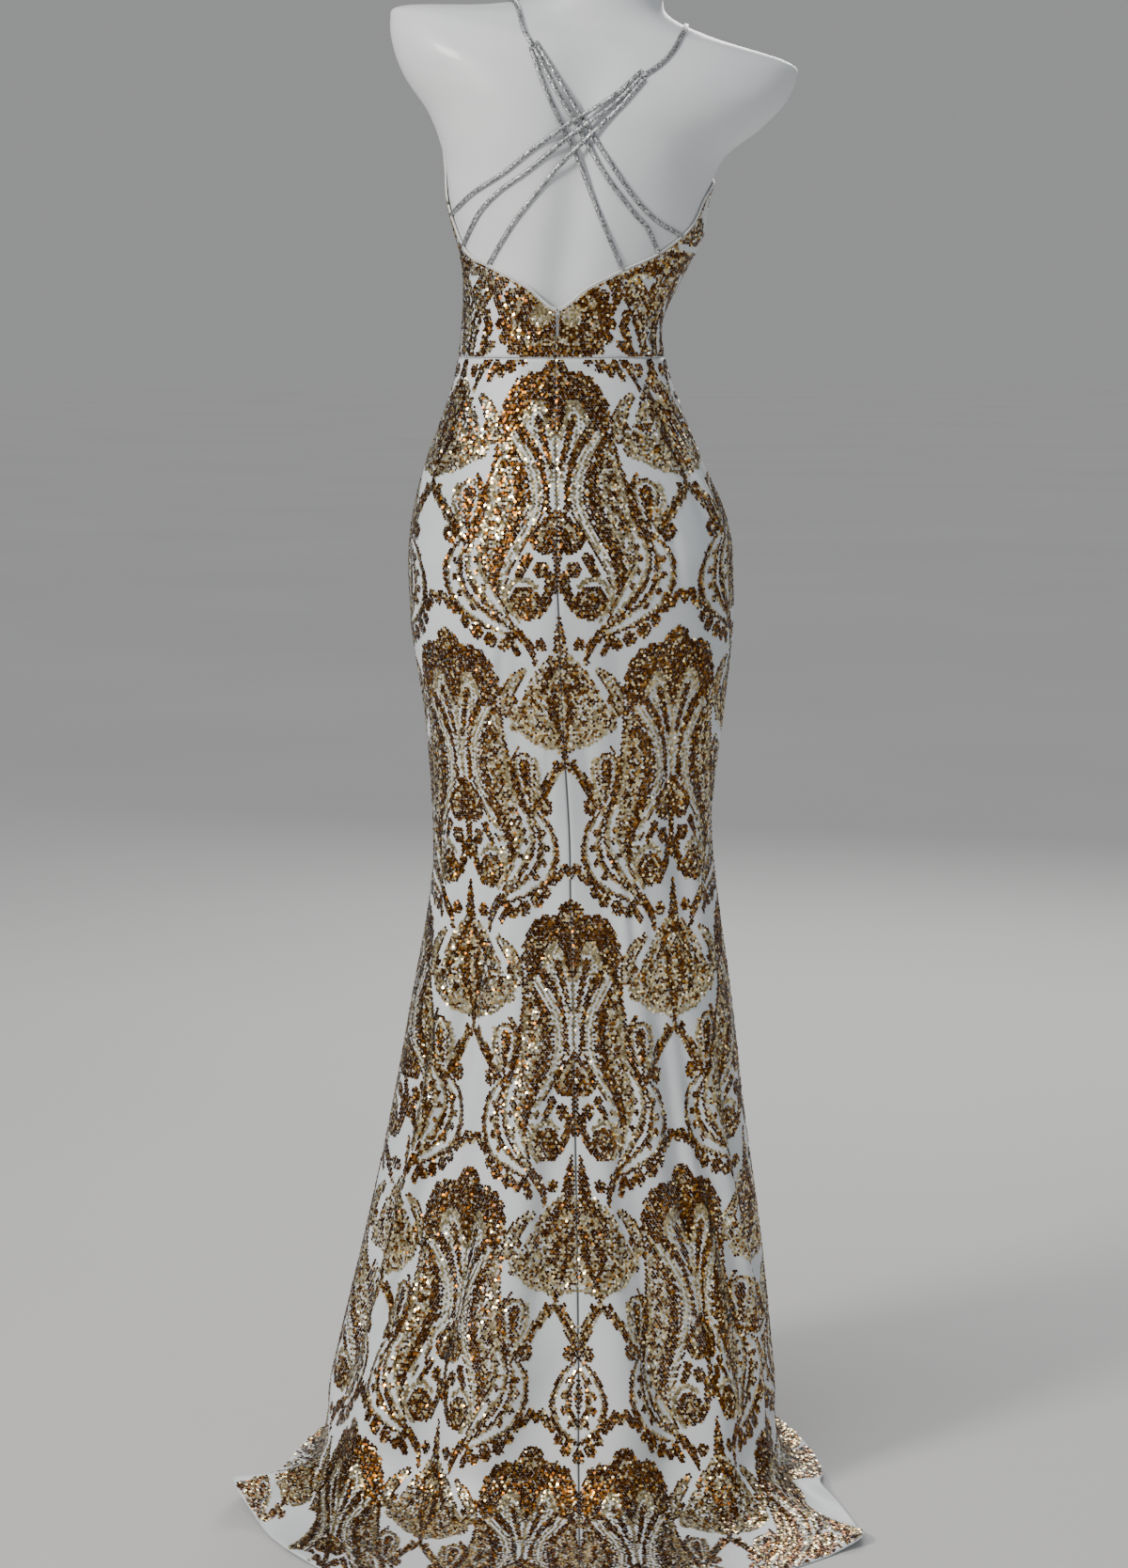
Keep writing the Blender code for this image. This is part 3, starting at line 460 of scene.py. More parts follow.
@dataclass
class Shader:
    """A material's node tree, with short ways to add and join its nodes."""

    name: str

    def __post_init__(self) -> None:
        """Makes the material and finds its shader."""
        self.material = bpy.data.materials.new(self.name)
        self.material.use_nodes = True
        self.tree = self.material.node_tree
        self.surface = self.tree.nodes["Principled BSDF"]

    def node(self, kind: str, inputs: dict | None = None, **settings: object) -> bpy.types.Node:
        """Adds a node.

        Args:
            kind: The node's type.
            inputs: Values, or output sockets to join, by input name.
            settings: The node's own properties.

        Returns:
            The node.
        """
        made = self.tree.nodes.new(kind)
        for name, value in settings.items():
            setattr(made, name, value)
        for name, value in (inputs or {}).items():
            self.set(made.inputs[name], value)
        return made

    def set(self, socket: bpy.types.NodeSocket, value: object) -> None:
        """Gives a socket a value, or joins an output to it."""
        if isinstance(value, bpy.types.NodeSocket):
            self.tree.links.new(value, socket)
        else:
            socket.default_value = value

    def dress(self, **inputs: object) -> None:
        """Sets the shader's inputs, named with _ for a space."""
        for name, value in inputs.items():
            self.set(self.surface.inputs[name.replace("_", " ")], value)

    def ramp(self, factor: bpy.types.NodeSocket, stops: list[tuple]) -> bpy.types.NodeSocket:
        """A colour ramp.

        Args:
            factor: What drives it.
            stops: Its places and colours.

        Returns:
            The colour socket.
        """
        made = self.node("ShaderNodeValToRGB", {"Fac": factor})
        elements = made.color_ramp.elements
        while len(elements) < len(stops):
            elements.new(0.5)
        for element, (place, colour) in zip(elements, stops):
            element.position, element.color = place, (*colour, 1.0)
        return made.outputs["Color"]

    def noise(self, scale: float, detail: float = 2.0, vector: object = None) -> bpy.types.NodeSocket:
        """A noise value on Object coordinates, or on the given vector."""
        if vector is None:
            vector = self.node("ShaderNodeTexCoord").outputs["Object"]
        made = self.node("ShaderNodeTexNoise", {"Vector": vector, "Scale": scale, "Detail": detail})
        return made.outputs["Fac"]

    def bump(self, height: bpy.types.NodeSocket, strength: float, distance: float) -> None:
        """Gives the surface a bump."""
        made = self.node("ShaderNodeBump", {"Height": height, "Strength": strength, "Distance": distance})
        self.set(self.surface.inputs["Normal"], made.outputs["Normal"])


@dataclass(frozen=True)
class Satin:
    """Pale satin with a fine twill, a faint uneven tone, painted shade along its seams and a soft sheen."""

    name: str
    low: tuple[float, float, float]
    high: tuple[float, float, float]
    roughness: float = 0.42
    sheen: float = 0.25
    threads: float = 1400.0
    # how far from a seam the painted seam shade reaches
    seam_reach: float = 0.0024

    def build(self) -> bpy.types.Material:
        """The material."""
        shader = Shader(self.name)
        where = shader.node("ShaderNodeTexCoord").outputs["Object"]
        cloud = shader.noise(9.0, 4.0, where)
        colour = shader.ramp(cloud, [(0.3, self.low), (0.7, self.high)])
        # Painted shade: the colour darkens towards each seam, by the UV map's distance from it, for the
        # shadow in the seam.
        uv = shader.node("ShaderNodeUVMap", uv_map="cloth").outputs["UV"]
        across = shader.node("ShaderNodeSeparateXYZ", {"Vector": uv}).outputs["X"]
        away = shader.node("ShaderNodeMath", {0: across, 1: self.seam_reach}, operation="DIVIDE")
        shade = shader.ramp(away.outputs["Value"], [(0.0, (0.16,) * 3), (0.30, (0.30,) * 3),
                                                    (0.62, (1.0,) * 3)])
        shaded_at_seams = shader.node("ShaderNodeVectorMath", {0: colour, 1: shade}, operation="MULTIPLY")
        shader.dress(Base_Color=shaded_at_seams.outputs["Vector"])
        weave = shader.node("ShaderNodeTexWave", {"Vector": uv, "Scale": self.threads, "Distortion": 0.6},
                            bands_direction="DIAGONAL").outputs["Fac"]
        slub = shader.noise(420.0, 2.0, where)
        mixed = shader.node("ShaderNodeMath", {0: weave, 1: slub}, operation="ADD").outputs["Value"]
        shader.bump(mixed, 0.10, 0.0003)
        shader.dress(Roughness=self.roughness, Sheen_Weight=self.sheen, Sheen_Roughness=0.4)
        shader.surface.inputs["Specular IOR Level"].default_value = 0.55
        return shader.material


@dataclass(frozen=True)
class Foil:
    """Foiled sequins, whose tone changes from one to the next, with painted glints at the top of the ramp.
    """

    name: str
    stops: tuple
    roughness: float

    def build(self) -> bpy.types.Material:
        """The material."""
        shader = Shader(self.name)
        tone = shader.node("ShaderNodeAttribute", attribute_name="tone").outputs["Fac"]
        shader.dress(Base_Color=shader.ramp(tone, list(self.stops)), Metallic=1.0, Roughness=self.roughness)
        return shader.material


@dataclass(frozen=True)
class Lurex:
    """Silver lurex: knitted glitter with bright and dark grains."""

    name: str
    grains: float = 1000.0

    def build(self) -> bpy.types.Material:
        """The material."""
        shader = Shader(self.name)
        where = shader.node("ShaderNodeTexCoord").outputs["Object"]
        grains = shader.node("ShaderNodeTexVoronoi", {"Vector": where, "Scale": self.grains})
        tone = shader.node("ShaderNodeSeparateColor", {"Color": grains.outputs["Color"]}).outputs["Red"]
        shader.dress(
            Base_Color=shader.ramp(tone, [(0.0, (0.07, 0.072, 0.076)), (0.45, (0.29, 0.30, 0.31)),
                                          (0.75, (0.52, 0.54, 0.56)), (0.95, (1.0, 1.0, 1.0))]),
            Metallic=0.75,
            Roughness=0.30,
        )
        shader.bump(grains.outputs["Distance"], 0.6, 0.0006)
        return shader.material


@dataclass(frozen=True)
class Plain:
    """A smooth coat with faint unevenness, from matt to metal."""

    name: str
    low: tuple[float, float, float]
    high: tuple[float, float, float]
    roughness: float
    metallic: float = 0.0
    grain: float = 60.0
    relief: float = 0.0002
    coat: float = 0.0

    def build(self) -> bpy.types.Material:
        """The material."""
        shader = Shader(self.name)
        where = shader.node("ShaderNodeTexCoord").outputs["Object"]
        cloud = shader.noise(self.grain / 6, 3.0, where)
        shader.dress(Base_Color=shader.ramp(cloud, [(0.35, self.low), (0.65, self.high)]),
                     Roughness=self.roughness, Metallic=self.metallic, Coat_Weight=self.coat)
        shader.bump(shader.noise(self.grain, 3.0, where), 0.08, self.relief)
        return shader.material


SATIN = Satin("satin_shell", (0.62, 0.66, 0.69), (0.74, 0.77, 0.79))
BINDING_SATIN = Plain("satin_binding", (0.66, 0.66, 0.64), (0.80, 0.80, 0.77), 0.45, grain=700.0)
# Foil colours from dark to light; the last stop of each is the colour of the sequins' painted glints.
BRONZE = Foil("sequin_bronze", (
    (0.0, (0.040, 0.011, 0.002)), (0.35, (0.13, 0.044, 0.006)), (0.70, (0.36, 0.150, 0.020)),
    (0.90, (0.84, 0.52, 0.11)), (0.98, (1.0, 0.84, 0.44))), 0.20)
CHAMPAGNE = Foil("sequin_champagne", (
    (0.0, (0.28, 0.20, 0.08)), (0.4, (0.68, 0.55, 0.29)), (0.80, (0.95, 0.86, 0.58)),
    (0.98, (1.0, 0.96, 0.82))), 0.20)
LUREX = Lurex("lurex_silver")
FORM_WHITE = Plain("form_white", (0.74, 0.77, 0.80), (0.80, 0.82, 0.84), 0.40, coat=0.15)
NICKEL = Plain("zip_nickel", (0.62, 0.62, 0.61), (0.78, 0.78, 0.76), 0.24, metallic=1.0, grain=900.0)
TAPE = Plain("zip_tape_weave", (0.58, 0.58, 0.57), (0.68, 0.68, 0.66), 0.85, grain=1400.0)
STEEL = Plain("stand_steel", (0.40, 0.41, 0.43), (0.52, 0.53, 0.55), 0.30, metallic=1.0, grain=300.0)
STUDIO = Plain("studio_floor", (0.55, 0.55, 0.55), (0.58, 0.58, 0.58), 0.80, grain=3.0, relief=0.001)


# Meshes


def linked(name: str, data: bpy.types.ID) -> bpy.types.Object:
    """An object of the scene that holds the data."""
    made = bpy.data.objects.new(name, data)
    bpy.context.scene.collection.objects.link(made)
    return made


def settle(name: str, shape: bmesh.types.BMesh, material: bpy.types.Material) -> bpy.types.Object:
    """Makes a finished piece of a bmesh, riding on the gown.

    Args:
        name: The piece's name.
        shape: Its shape, which is freed.
        material: Its finish.

    Returns:
        The object.
    """
    mesh = bpy.data.meshes.new(name)
    shape.to_mesh(mesh)
    shape.free()
    mesh.materials.append(material)
    mesh.shade_smooth()
    piece = linked(name, mesh)
    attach(piece, "gown")
    LOG.info("%s: %d faces", name, len(mesh.polygons))
    return piece


def mapped_grid(places: Array, flat: Array | None = None) -> bmesh.types.BMesh:
    """A grid whose points lie at the given places.

    Args:
        places: Points by row and column.
        flat: Flat coordinates by row and column, kept as the UV map "cloth".

    Returns:
        The grid, its faces towards the side from which rows run down and columns to the right.
    """
    rows, columns = places.shape[:2]
    shape = bmesh.new()
    bmesh.ops.create_grid(shape, x_segments=columns - 1, y_segments=rows - 1, size=1.0)
    spots = {}
    for vertex in shape.verts:
        column = round((vertex.co.x + 1.0) / 2.0 * (columns - 1))
        row = round((vertex.co.y + 1.0) / 2.0 * (rows - 1))
        vertex.co = places[row, column]
        spots[vertex] = row, column
    if flat is not None:
        layer = shape.loops.layers.uv.new("cloth")
        for face in shape.faces:
            for loop in face.loops:
                loop[layer].uv = flat[spots[loop.vert]]
    return shape


def closed_tube(centres: Array, across: Array, out: Array, half_width: Array, half_depth: float,
                sides: int = 14) -> bmesh.types.BMesh:
    """A tube with an oval section along a line.

    Args:
        centres: Points of the line.
        across: The section's wide direction at each.
        out: Its thin direction at each.
        half_width: Half its width at each.
        half_depth: Half its thickness.
        sides: Points round the section.

    Returns:
        The tube, its ends closed.
    """
    angles = np.linspace(0.0, 2 * math.pi, sides + 1)
    half_width = np.broadcast_to(half_width, (len(centres),))
    places = (centres[:, None]
              + across[:, None] * (half_width[:, None] * np.cos(angles)[None])[..., None]
              + out[:, None] * (half_depth * np.sin(angles))[None, :, None])
    shape = mapped_grid(places)
    bmesh.ops.remove_doubles(shape, verts=shape.verts, dist=1e-6)
    bmesh.ops.holes_fill(shape, edges=[edge for edge in shape.edges if edge.is_boundary], sides=0)
    bmesh.ops.recalc_face_normals(shape, faces=shape.faces)
    return shape


def through(points: Sequence, count: int) -> Array:
    """Points at even steps along a smooth curve through the given ones.

    Args:
        points: The points that the curve passes.
        count: How many to give back.

    Returns:
        The points.
    """
    points = np.array(points, float)
    ends = np.vstack([2 * points[0] - points[1], points, 2 * points[-1] - points[-2]])
    dense = []
    for first, start, end, last in zip(ends, ends[1:], ends[2:], ends[3:]):
        for t in np.arange(12) / 12:
            dense.append(0.5 * (2 * start + (end - first) * t
                                + (2 * first - 5 * start + 4 * end - last) * t * t
                                + (3 * start - first - 3 * end + last) * t**3))
    dense = np.vstack([*dense, points[-1]])
    lengths = run_lengths(dense)
    wanted = np.linspace(0.0, lengths[-1], count)
    return np.stack([np.interp(wanted, lengths, column) for column in dense.T], -1)


def stretched(along: Array, out: Array) -> Array:
    """Pulls a line taut over what it rests on: the upper hull of out against along."""
    hull: list[tuple[float, float]] = []
    for here in zip(along, out):
        while len(hull) > 1:
            (a, ya), (b, yb) = hull[-2], hull[-1]
            if (yb - ya) * (here[0] - a) > (here[1] - ya) * (b - a):
                break
            hull.pop()
        hull.append(here)
    return softened(np.interp(along, [x for x, _ in hull], [y for _, y in hull]), 3)


# The pattern


class Tone(Enum):
    """What a place of the pattern carries."""

    BARE = 0
    BRONZE = 1
    CHAMPAGNE = 2
    SCATTER = 3
    GLITTER = 4


LETTERS = {"w": Tone.BARE, "b": Tone.BRONZE, "c": Tone.CHAMPAGNE, "s": Tone.SCATTER, "g": Tone.GLITTER}


class Band(NamedTuple):
    """A stroke of the pattern in millimetres: points, half widths, and tones from middle to edge."""

    points: list[tuple[float, float]]
    widths: list[float]
    tones: str


def discs(radius: float, tones: str, *middles: tuple[float, float]) -> list[Band]:
    """Round spots of one size."""
    return [Band([middle], [radius], tones) for middle in middles]


MOTIF = [
    # crown: shoulders, middle lobe and scallops
    Band([(8, 36), (28, 34), (43, 44), (49, 58), (47, 70)], [13.0, 14.0, 13.0, 11.0, 7.0], "b"),
    Band([(0, 16)], [18.0], "gbb"),
    *discs(8.0, "b", (22, 21), (34, 21), (46, 26), (54, 36), (59, 48), (60, 60), (56, 70)),
    Band([(5, 82), (9, 62), (22, 47), (33, 55), (38, 72)], [3.4, 3.8, 3.8, 3.8, 3.0], "c"),
    Band([(0, 32), (0, 50), (0, 82)], [14.0, 12.0, 1.5], "b"),
    # feathered petals running down to the middle
    Band([(22, 62), (19, 86), (12, 110), (6, 136)], [9.5, 9.5, 7.5, 2.0], "wcwc"),
    Band([(20, 64), (12, 90), (5, 114)], [4.6, 4.4, 2.4], "b"),
    Band([(0, 84), (0, 164)], [2.8, 2.4], "c"),
    Band([(37, 76), (25, 92), (18, 108), (12, 132), (9, 160)], [4.6, 4.6, 4.2, 3.6, 3.0], "b"),
    # paisley body: gold ground with dots, and a broad dark edge
    Band([(60, 92), (56, 108), (54, 130), (55, 152), (67, 190), (79, 218), (78, 240), (67, 262), (56, 280)],
         [8.0, 15.0, 21.0, 23.0, 24.0, 21.0, 16.0, 10.0, 4.0], "sgssbb"),
    Band([(50, 100), (39, 122), (37, 152), (48, 186), (62, 215), (67, 240), (60, 266)],
         [4.0, 6.0, 6.4, 6.4, 6.2, 5.2, 4.0], "b"),
    Band([(62, 112), (66, 134), (68, 158), (79, 186)], [2.6, 2.8, 2.8, 2.4], "c"),
    *discs(4.4, "b", (56, 112), (54, 128), (55, 144), (59, 160), (66, 175)),
    Band([(77, 186), (86, 204), (87, 223), (77, 243), (61, 268)], [4.0, 9.0, 10.4, 8.6, 3.0], "wwccb"),
    *discs(3.4, "b", (80, 200), (85, 212), (86, 225), (79, 240)),
    # the pale ribbon that sweeps round the body
    Band([(50, 80), (41, 92), (30, 106), (22, 126), (20, 146), (23, 164), (31, 182), (42, 200), (52, 218),
          (58, 235), (60, 252)],
         [7.0, 8.8, 9.2, 9.2, 9.0, 8.4, 7.6, 6.8, 6.0, 5.0, 3.0], "wccwbb"),
    Band([(38, 75), (52, 74), (64, 86)], [4.0, 4.2, 3.4], "b"),
    # crescent wing with its dots
    Band([(99, 195), (112, 213), (116, 236), (106, 258), (85, 273), (60, 285)],
         [4.0, 12.0, 15.0, 13.4, 9.4, 5.0], "wwcbb"),
    *discs(4.0, "b", (110, 215), (114, 231), (110, 247), (98, 261)),
    # nested teardrop beside the body
    Band([(91, 144), (92, 160), (95, 182)], [15.5, 10.5, 2.0], "bbbwcb"),
    Band([(84, 124), (74, 140), (74, 158), (81, 175), (99, 193)], [2.4, 2.8, 2.8, 2.8, 2.6], "b"),
    Band([(107, 136), (109, 156), (100, 180)], [2.6, 2.8, 2.2], "c"),
    # heart-shaped bulb on the middle, stem and bulblet
    Band([(0, 160), (6, 174)], [2.4, 9.0], "b"), Band([(12, 189)], [16.5], "b"),
    Band([(4, 172), (15, 182), (17, 195)], [2.6, 3.0, 2.6], "g"),
    Band([(0, 204), (0, 244)], [4.4, 3.4], "b"), Band([(17, 221)], [8.4], "b"),
    # curled head with its arc and leaf
    Band([(8, 228), (9, 242), (15, 257), (25, 268)], [4.6, 5.2, 5.2, 4.4], "b"),
    Band([(36, 256)], [18.0], "gbbgbb"),
    Band([(22, 239), (36, 231), (51, 239), (57, 256), (45, 274)], [2.6, 3.0, 3.0, 3.0, 2.6], "c"),
    Band([(30, 210), (40, 227)], [6.0, 3.6], "b"),
    # fringe of drops and tails, and the chain to the next motif
    Band([(50, 286), (36, 301), (30, 320)], [6.0, 5.4, 2.4], "b"), Band([(22, 299)], [7.0], "b"),
    Band([(60, 294), (52, 308)], [5.8, 4.2], "b"),
    *discs(8.4, "b", (82, 294), (99, 286)), *discs(6.6, "b", (68, 300), (112, 277), (121, 264)),
    Band([(121, 252), (129, 262), (137, 250), (145, 258)], [4.0, 4.2, 4.2, 4.2], "b"),
    # spear, and the gold fan below it with its two leaves
    Band([(0, 268), (0, 292), (0, 312)], [1.6, 6.2, 9.4], "b"),
    Band([(0, 332), (14, 345), (28, 362), (44, 378), (58, 384)], [25.0, 24.0, 22.0, 18.0, 11.0], "sss"),
    Band([(0, 326), (0, 352), (0, 386)], [14.0, 24.0, 30.0], "ggs"),
    Band([(0, 398), (28, 395), (52, 383), (70, 368)], [14.0, 14.0, 12.0, 6.0], "ggsc"),
    Band([(45, 327), (58, 338), (69, 353), (73, 370)], [4.0, 7.6, 9.6, 7.0], "scb"),
    Band([(0, 316), (13, 328), (24, 350)], [6.0, 4.6, 3.6], "b"),
    Band([(0, 340), (0, 372), (0, 400)], [4.0, 17.0, 4.0], "gbbb"),
    *discs(4.6, "b", (36, 360), (27, 384), (48, 372), (12, 346), (60, 360)),
    Band([(0, 411), (0, 428)], [4.0, 3.4], "b"),
    Band([(0, 424), (14, 437), (27, 452), (37, 468), (48, 481)], [3.4, 6.4, 6.6, 5.4, 3.4], "bbcb"),
    Band([(30, 474)], [9.4], "gbb"), Band([(12, 426)], [4.0], "b"),
]

RINGS = [
    # roundels beside the zip, scalloped below
    Band([(17, -44)], [45.0], "ccbbgbb"),
    *discs(7.0, "b", *[(17 + 44 * math.cos(turn), 44 * math.sin(turn) - 44)
                       for turn in (-0.5, -0.15, 0.2, 0.55, 0.9, 1.25)]),
    # leaves and curls towards the side seam
    Band([(66, -90), (84, -78), (98, -56), (106, -26), (108, 4)], [8.0, 15.0, 17.0, 15.0, 12.0], "sbsb"),
    Band([(64, -84), (70, -68), (67, -52)], [5.0, 6.0, 3.0], "b"),
    Band([(80, -46), (76, -30), (82, -12)], [5.0, 5.6, 3.6], "b"),
    Band([(70, -14), (84, -4), (96, 4)], [4.6, 5.0, 4.0], "b"),
    Band([(26, -104), (60, -104), (90, -108), (108, -116)], [13.0, 12.0, 20.0, 30.0], "sbbs"),
    Band([(40, -144), (80, -152), (108, -164)], [20.0, 24.0, 30.0], "sbsb"),
    *discs(9.0, "cb", (60, -108), (84, -96), (100, -118)),
]


class Ease(NamedTuple):
    """How the cut meets the figure: millimetres that a half repeat covers, and the seam's flare."""

    down: float
    half: float
    flare: float


EASE = [
    Ease(-0.25, 108.0, 0.0), Ease(0.00, 108.0, 0.0), Ease(0.07, 128.0, 0.0), Ease(0.16, 152.0, 0.0),
    Ease(0.225, 146.0, 0.0), Ease(0.30, 128.0, 0.0), Ease(0.43, 117.0, 0.0), Ease(0.55, 114.0, 0.0),
    Ease(0.78, 114.0, 0.0), Ease(0.88, 114.0, 9.0), Ease(1.02, 114.0, 28.0), Ease(1.12, 114.0, 46.0),
    Ease(1.45, 114.0, 66.0),
]


@dataclass
class Damask:
    """A half-drop repeat of bands, charted in half-millimetre steps."""

    bands: list[Band]
    half_period: float = 145.0
    drop: float = 574.0
    step: float = 0.5

    def __post_init__(self) -> None:
        """Charts the stretch from the middle of one motif to the middle of the next."""
        y, x = np.mgrid[0:self.drop:self.step, 0:self.half_period:self.step] + self.step / 2
        chart = np.zeros(x.size, int)
        for column, offset in ((0.0, 0.0), (self.half_period, self.drop / 2)):
            for start in (-self.drop, 0.0, self.drop):
                here = np.zeros(x.size, int)
                for band in self.bands:
                    self.paint(band, np.abs(x - column).ravel(), (y - start - offset).ravel(), here)
                chart = np.where(chart == 0, here, chart)
        self.chart = chart.reshape(x.shape)

    @staticmethod
    def paint(band: Band, x: Array, y: Array, tones: Array) -> None:
        """Paints one band over the tones at the given places."""
        path, widths = np.array(band.points, float), np.array(band.widths, float)
        if len(path) > 1:
            count = 14 * len(path)
            widths = np.interp(np.linspace(0, 1, count), np.linspace(0, 1, len(path)), widths)
            path = through(path, count)
        reach = widths.max()
        low, high = path.min(axis=0) - reach, path.max(axis=0) + reach
        index = np.flatnonzero((x > low[0]) & (x < high[0]) & (y > low[1]) & (y < high[1]))
        if len(index):
            share = np.full(len(index), np.inf)
            for (across, along), width in zip(path, widths):
                share = np.minimum(share, np.hypot(x[index] - across, y[index] - along) / width)
            inside = share < 1.0
            letters = np.array([LETTERS[letter].value for letter in band.tones])
            tones[index[inside]] = letters[(share[inside] * len(letters)).astype(int)]

    def tones(self, x: Array, y: Array) -> Array:
        """Tones of the repeat at flat places, in millimetres."""
        folded = np.abs((x + self.half_period) % (2 * self.half_period) - self.half_period)
        rows, columns = self.chart.shape
        column = np.minimum((folded / self.step).astype(int), columns - 1)
        row = np.minimum(((y % self.drop) / self.step).astype(int), rows - 1)
        return self.chart[row, column]


# The gown


@dataclass
class Panel:
    """A panel of cloth over a stretch of turns, with its own flat coordinates."""

    name: str
    surface: Callable[..., Array]
    start: float
    end: float
    falls: Array
    columns: int
    origin: float
    top_is_zero: bool
    damask: Damask
    wall: float = 0.0009
    margin: float = 0.008
    seam_dip: float = 0.0012
    waist_dip: float = 0.0008
    crease_radius: float = 0.14  # turns a crease's degrees into metres
    side_clear: float = 0.0008   # bare cloth beside a seam, and above and below
    end_clear: float = 0.0014
    slack: float = 0.0004        # how near a flat place must be met

    def __post_init__(self) -> None:
        """Lays the panel's points at even steps between its seams, and measures it."""
        dense = np.linspace(self.start, self.end, 5 * self.columns)
        points = self.surface(dense[None], self.falls[:, None])
        runs = np.linalg.norm(np.diff(points, axis=1), axis=2)
        lengths = np.concatenate([np.zeros((len(self.falls), 1)), np.cumsum(runs, axis=1)], axis=1)
        self.width = lengths[:, -1]
        inner = np.linspace(self.margin, 1.0 - self.margin, self.columns - 2)
        self.share = np.concatenate([[0.0], inner, [1.0]])
        turns = np.stack([np.interp(self.share * run[-1], run, dense) for run in lengths])
        places = self.surface(turns, self.falls[:, None])
        self.across = (self.share[None] - self.origin) * self.width[:, None]
        drops = np.linalg.norm(np.diff(places, axis=0), axis=2)
        self.down = np.concatenate([np.zeros((1, self.columns)), np.cumsum(drops, axis=0)])
        if not self.top_is_zero:
            self.down = self.down - self.down[-1:]
        self.normals = self.square_to(places)
        self.places = places + self.normals * self.relief(turns, places)[..., None]
        self.places[..., 2] = np.maximum(self.places[..., 2], self.wall + FLOOR_GAP)
        self.normals = self.square_to(self.places)

    @staticmethod
    def square_to(places: Array) -> Array:
        """The outward direction at each point of a grid."""
        return unit(np.cross(np.gradient(places, axis=1), np.gradient(places, axis=0)))

    def relief(self, turns: Array, places: Array) -> Array:
        """How far the cloth stands out for its creases, and in for its seams."""
        push = np.zeros(turns.shape)
        for crease in CREASES:
            a = np.radians(turned(turns - crease.turn)) * self.crease_radius
            b = places[..., 2] - crease.height
            lean = math.radians(crease.lean)
            along = b * math.cos(lean) + a * math.sin(lean)
            aside = a * math.cos(lean) - b * math.sin(lean)
            push += crease.depth * np.exp(-((aside / crease.width) ** 2) - (along / crease.length) ** 4)
        edge = np.minimum(np.arange(self.columns), np.arange(self.columns)[::-1])[None]
        top = np.arange(len(self.falls))[:, None]
        if not self.top_is_zero:
            top = top[::-1]
        return push - self.seam_dip * (edge == 0) - self.waist_dip * (top == 0)

    def build(self) -> bpy.types.Object:
        """The panel as a thin walled shell that stands for its node."""
        # The UV map's across value is the distance from the nearer seam; the satin's painted seam shade and
        # its twill read it.
        from_seam = np.minimum(self.share, 1.0 - self.share)[None] * self.width[:, None]
        shape = mapped_grid(self.places, np.stack([from_seam, self.down], -1))
        piece = settle(self.name + "_cloth", shape, finish(SATIN))
        wall = piece.modifiers.new("wall", "SOLIDIFY")
        wall.thickness, wall.offset = self.wall, -1.0
        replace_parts(piece, self.name)
        return piece

    def looked_up(self, grid: Array, row: Array, share: Array) -> Array:
        """The grid's value between its points."""
        column = np.interp(share, self.share, np.arange(self.columns))
        r0 = np.clip(row.astype(int), 0, len(self.falls) - 2)
        c0 = np.clip(column.astype(int), 0, self.columns - 2)
        fr, fc = row - r0, column - c0
        if grid.ndim == 3:
            fr, fc = fr[:, None], fc[:, None]
        return (grid[r0, c0] * (1 - fr) * (1 - fc) + grid[r0 + 1, c0] * fr * (1 - fc)
                + grid[r0, c0 + 1] * (1 - fr) * fc + grid[r0 + 1, c0 + 1] * fr * fc)

    def located(self, u: Array, v: Array) -> tuple[Array, Array, Array]:
        """Where flat places come on the panel.

        Args:
            u: Across, in metres.
            v: Down, in metres.

        Returns:
            Row and share of the width for each, and which lie on the panel.
        """
        rows = np.arange(len(self.falls), dtype=float)
        row = np.interp(v, self.down.mean(axis=1), rows)
        for _ in range(6):
            share = u / np.interp(row, rows, self.width) + self.origin
            here = self.looked_up(self.down, row, share)
            ahead = self.looked_up(self.down, np.minimum(row + 0.5, rows[-1]), share)
            behind = self.looked_up(self.down, np.maximum(row - 0.5, 0.0), share)
            row = np.clip(row + (v - here) / np.maximum(ahead - behind, 1e-4), 0.0, rows[-1])
        width = np.interp(row, rows, self.width)
        share = u / width + self.origin
        margin = self.side_clear / width
        end = self.looked_up(self.down, row, share)
        good = (share > margin) & (share < 1 - margin) & (np.abs(end - v) < self.slack)
        low = self.looked_up(self.down, np.zeros(len(row)), share)
        high = self.looked_up(self.down, np.full(len(row), rows[-1]), share)
        good &= (v - low > self.end_clear) & (high - v > self.end_clear)
        return row, share, good

    def along_top(self, pitch: float, below: float) -> tuple[Array, Array]:
        """Rows and shares of places at even steps along the top edge.

        Args:
            pitch: The step.
            below: How far under the edge they lie.

        Returns:
            Row and share of each.
        """
        columns = np.arange(self.columns)
        run = run_lengths(self.places[0])
        column = np.interp(np.arange(pitch, run[-1] - pitch / 2, pitch), run, columns)
        first = np.linalg.norm(self.places[1] - self.places[0], axis=1)
        return below / np.interp(column, columns, first), np.interp(column, columns, self.share)

    def flat(self) -> tuple[tuple[float, float], float]:
        """The cut's width and length, and its area."""
        steps = np.linalg.norm(np.diff(self.places, axis=0), axis=2).mean(axis=1)
        area = float((0.5 * (self.width[1:] + self.width[:-1]) * steps).sum())
        return (float(self.width.max()), float(np.ptp(self.down))), area


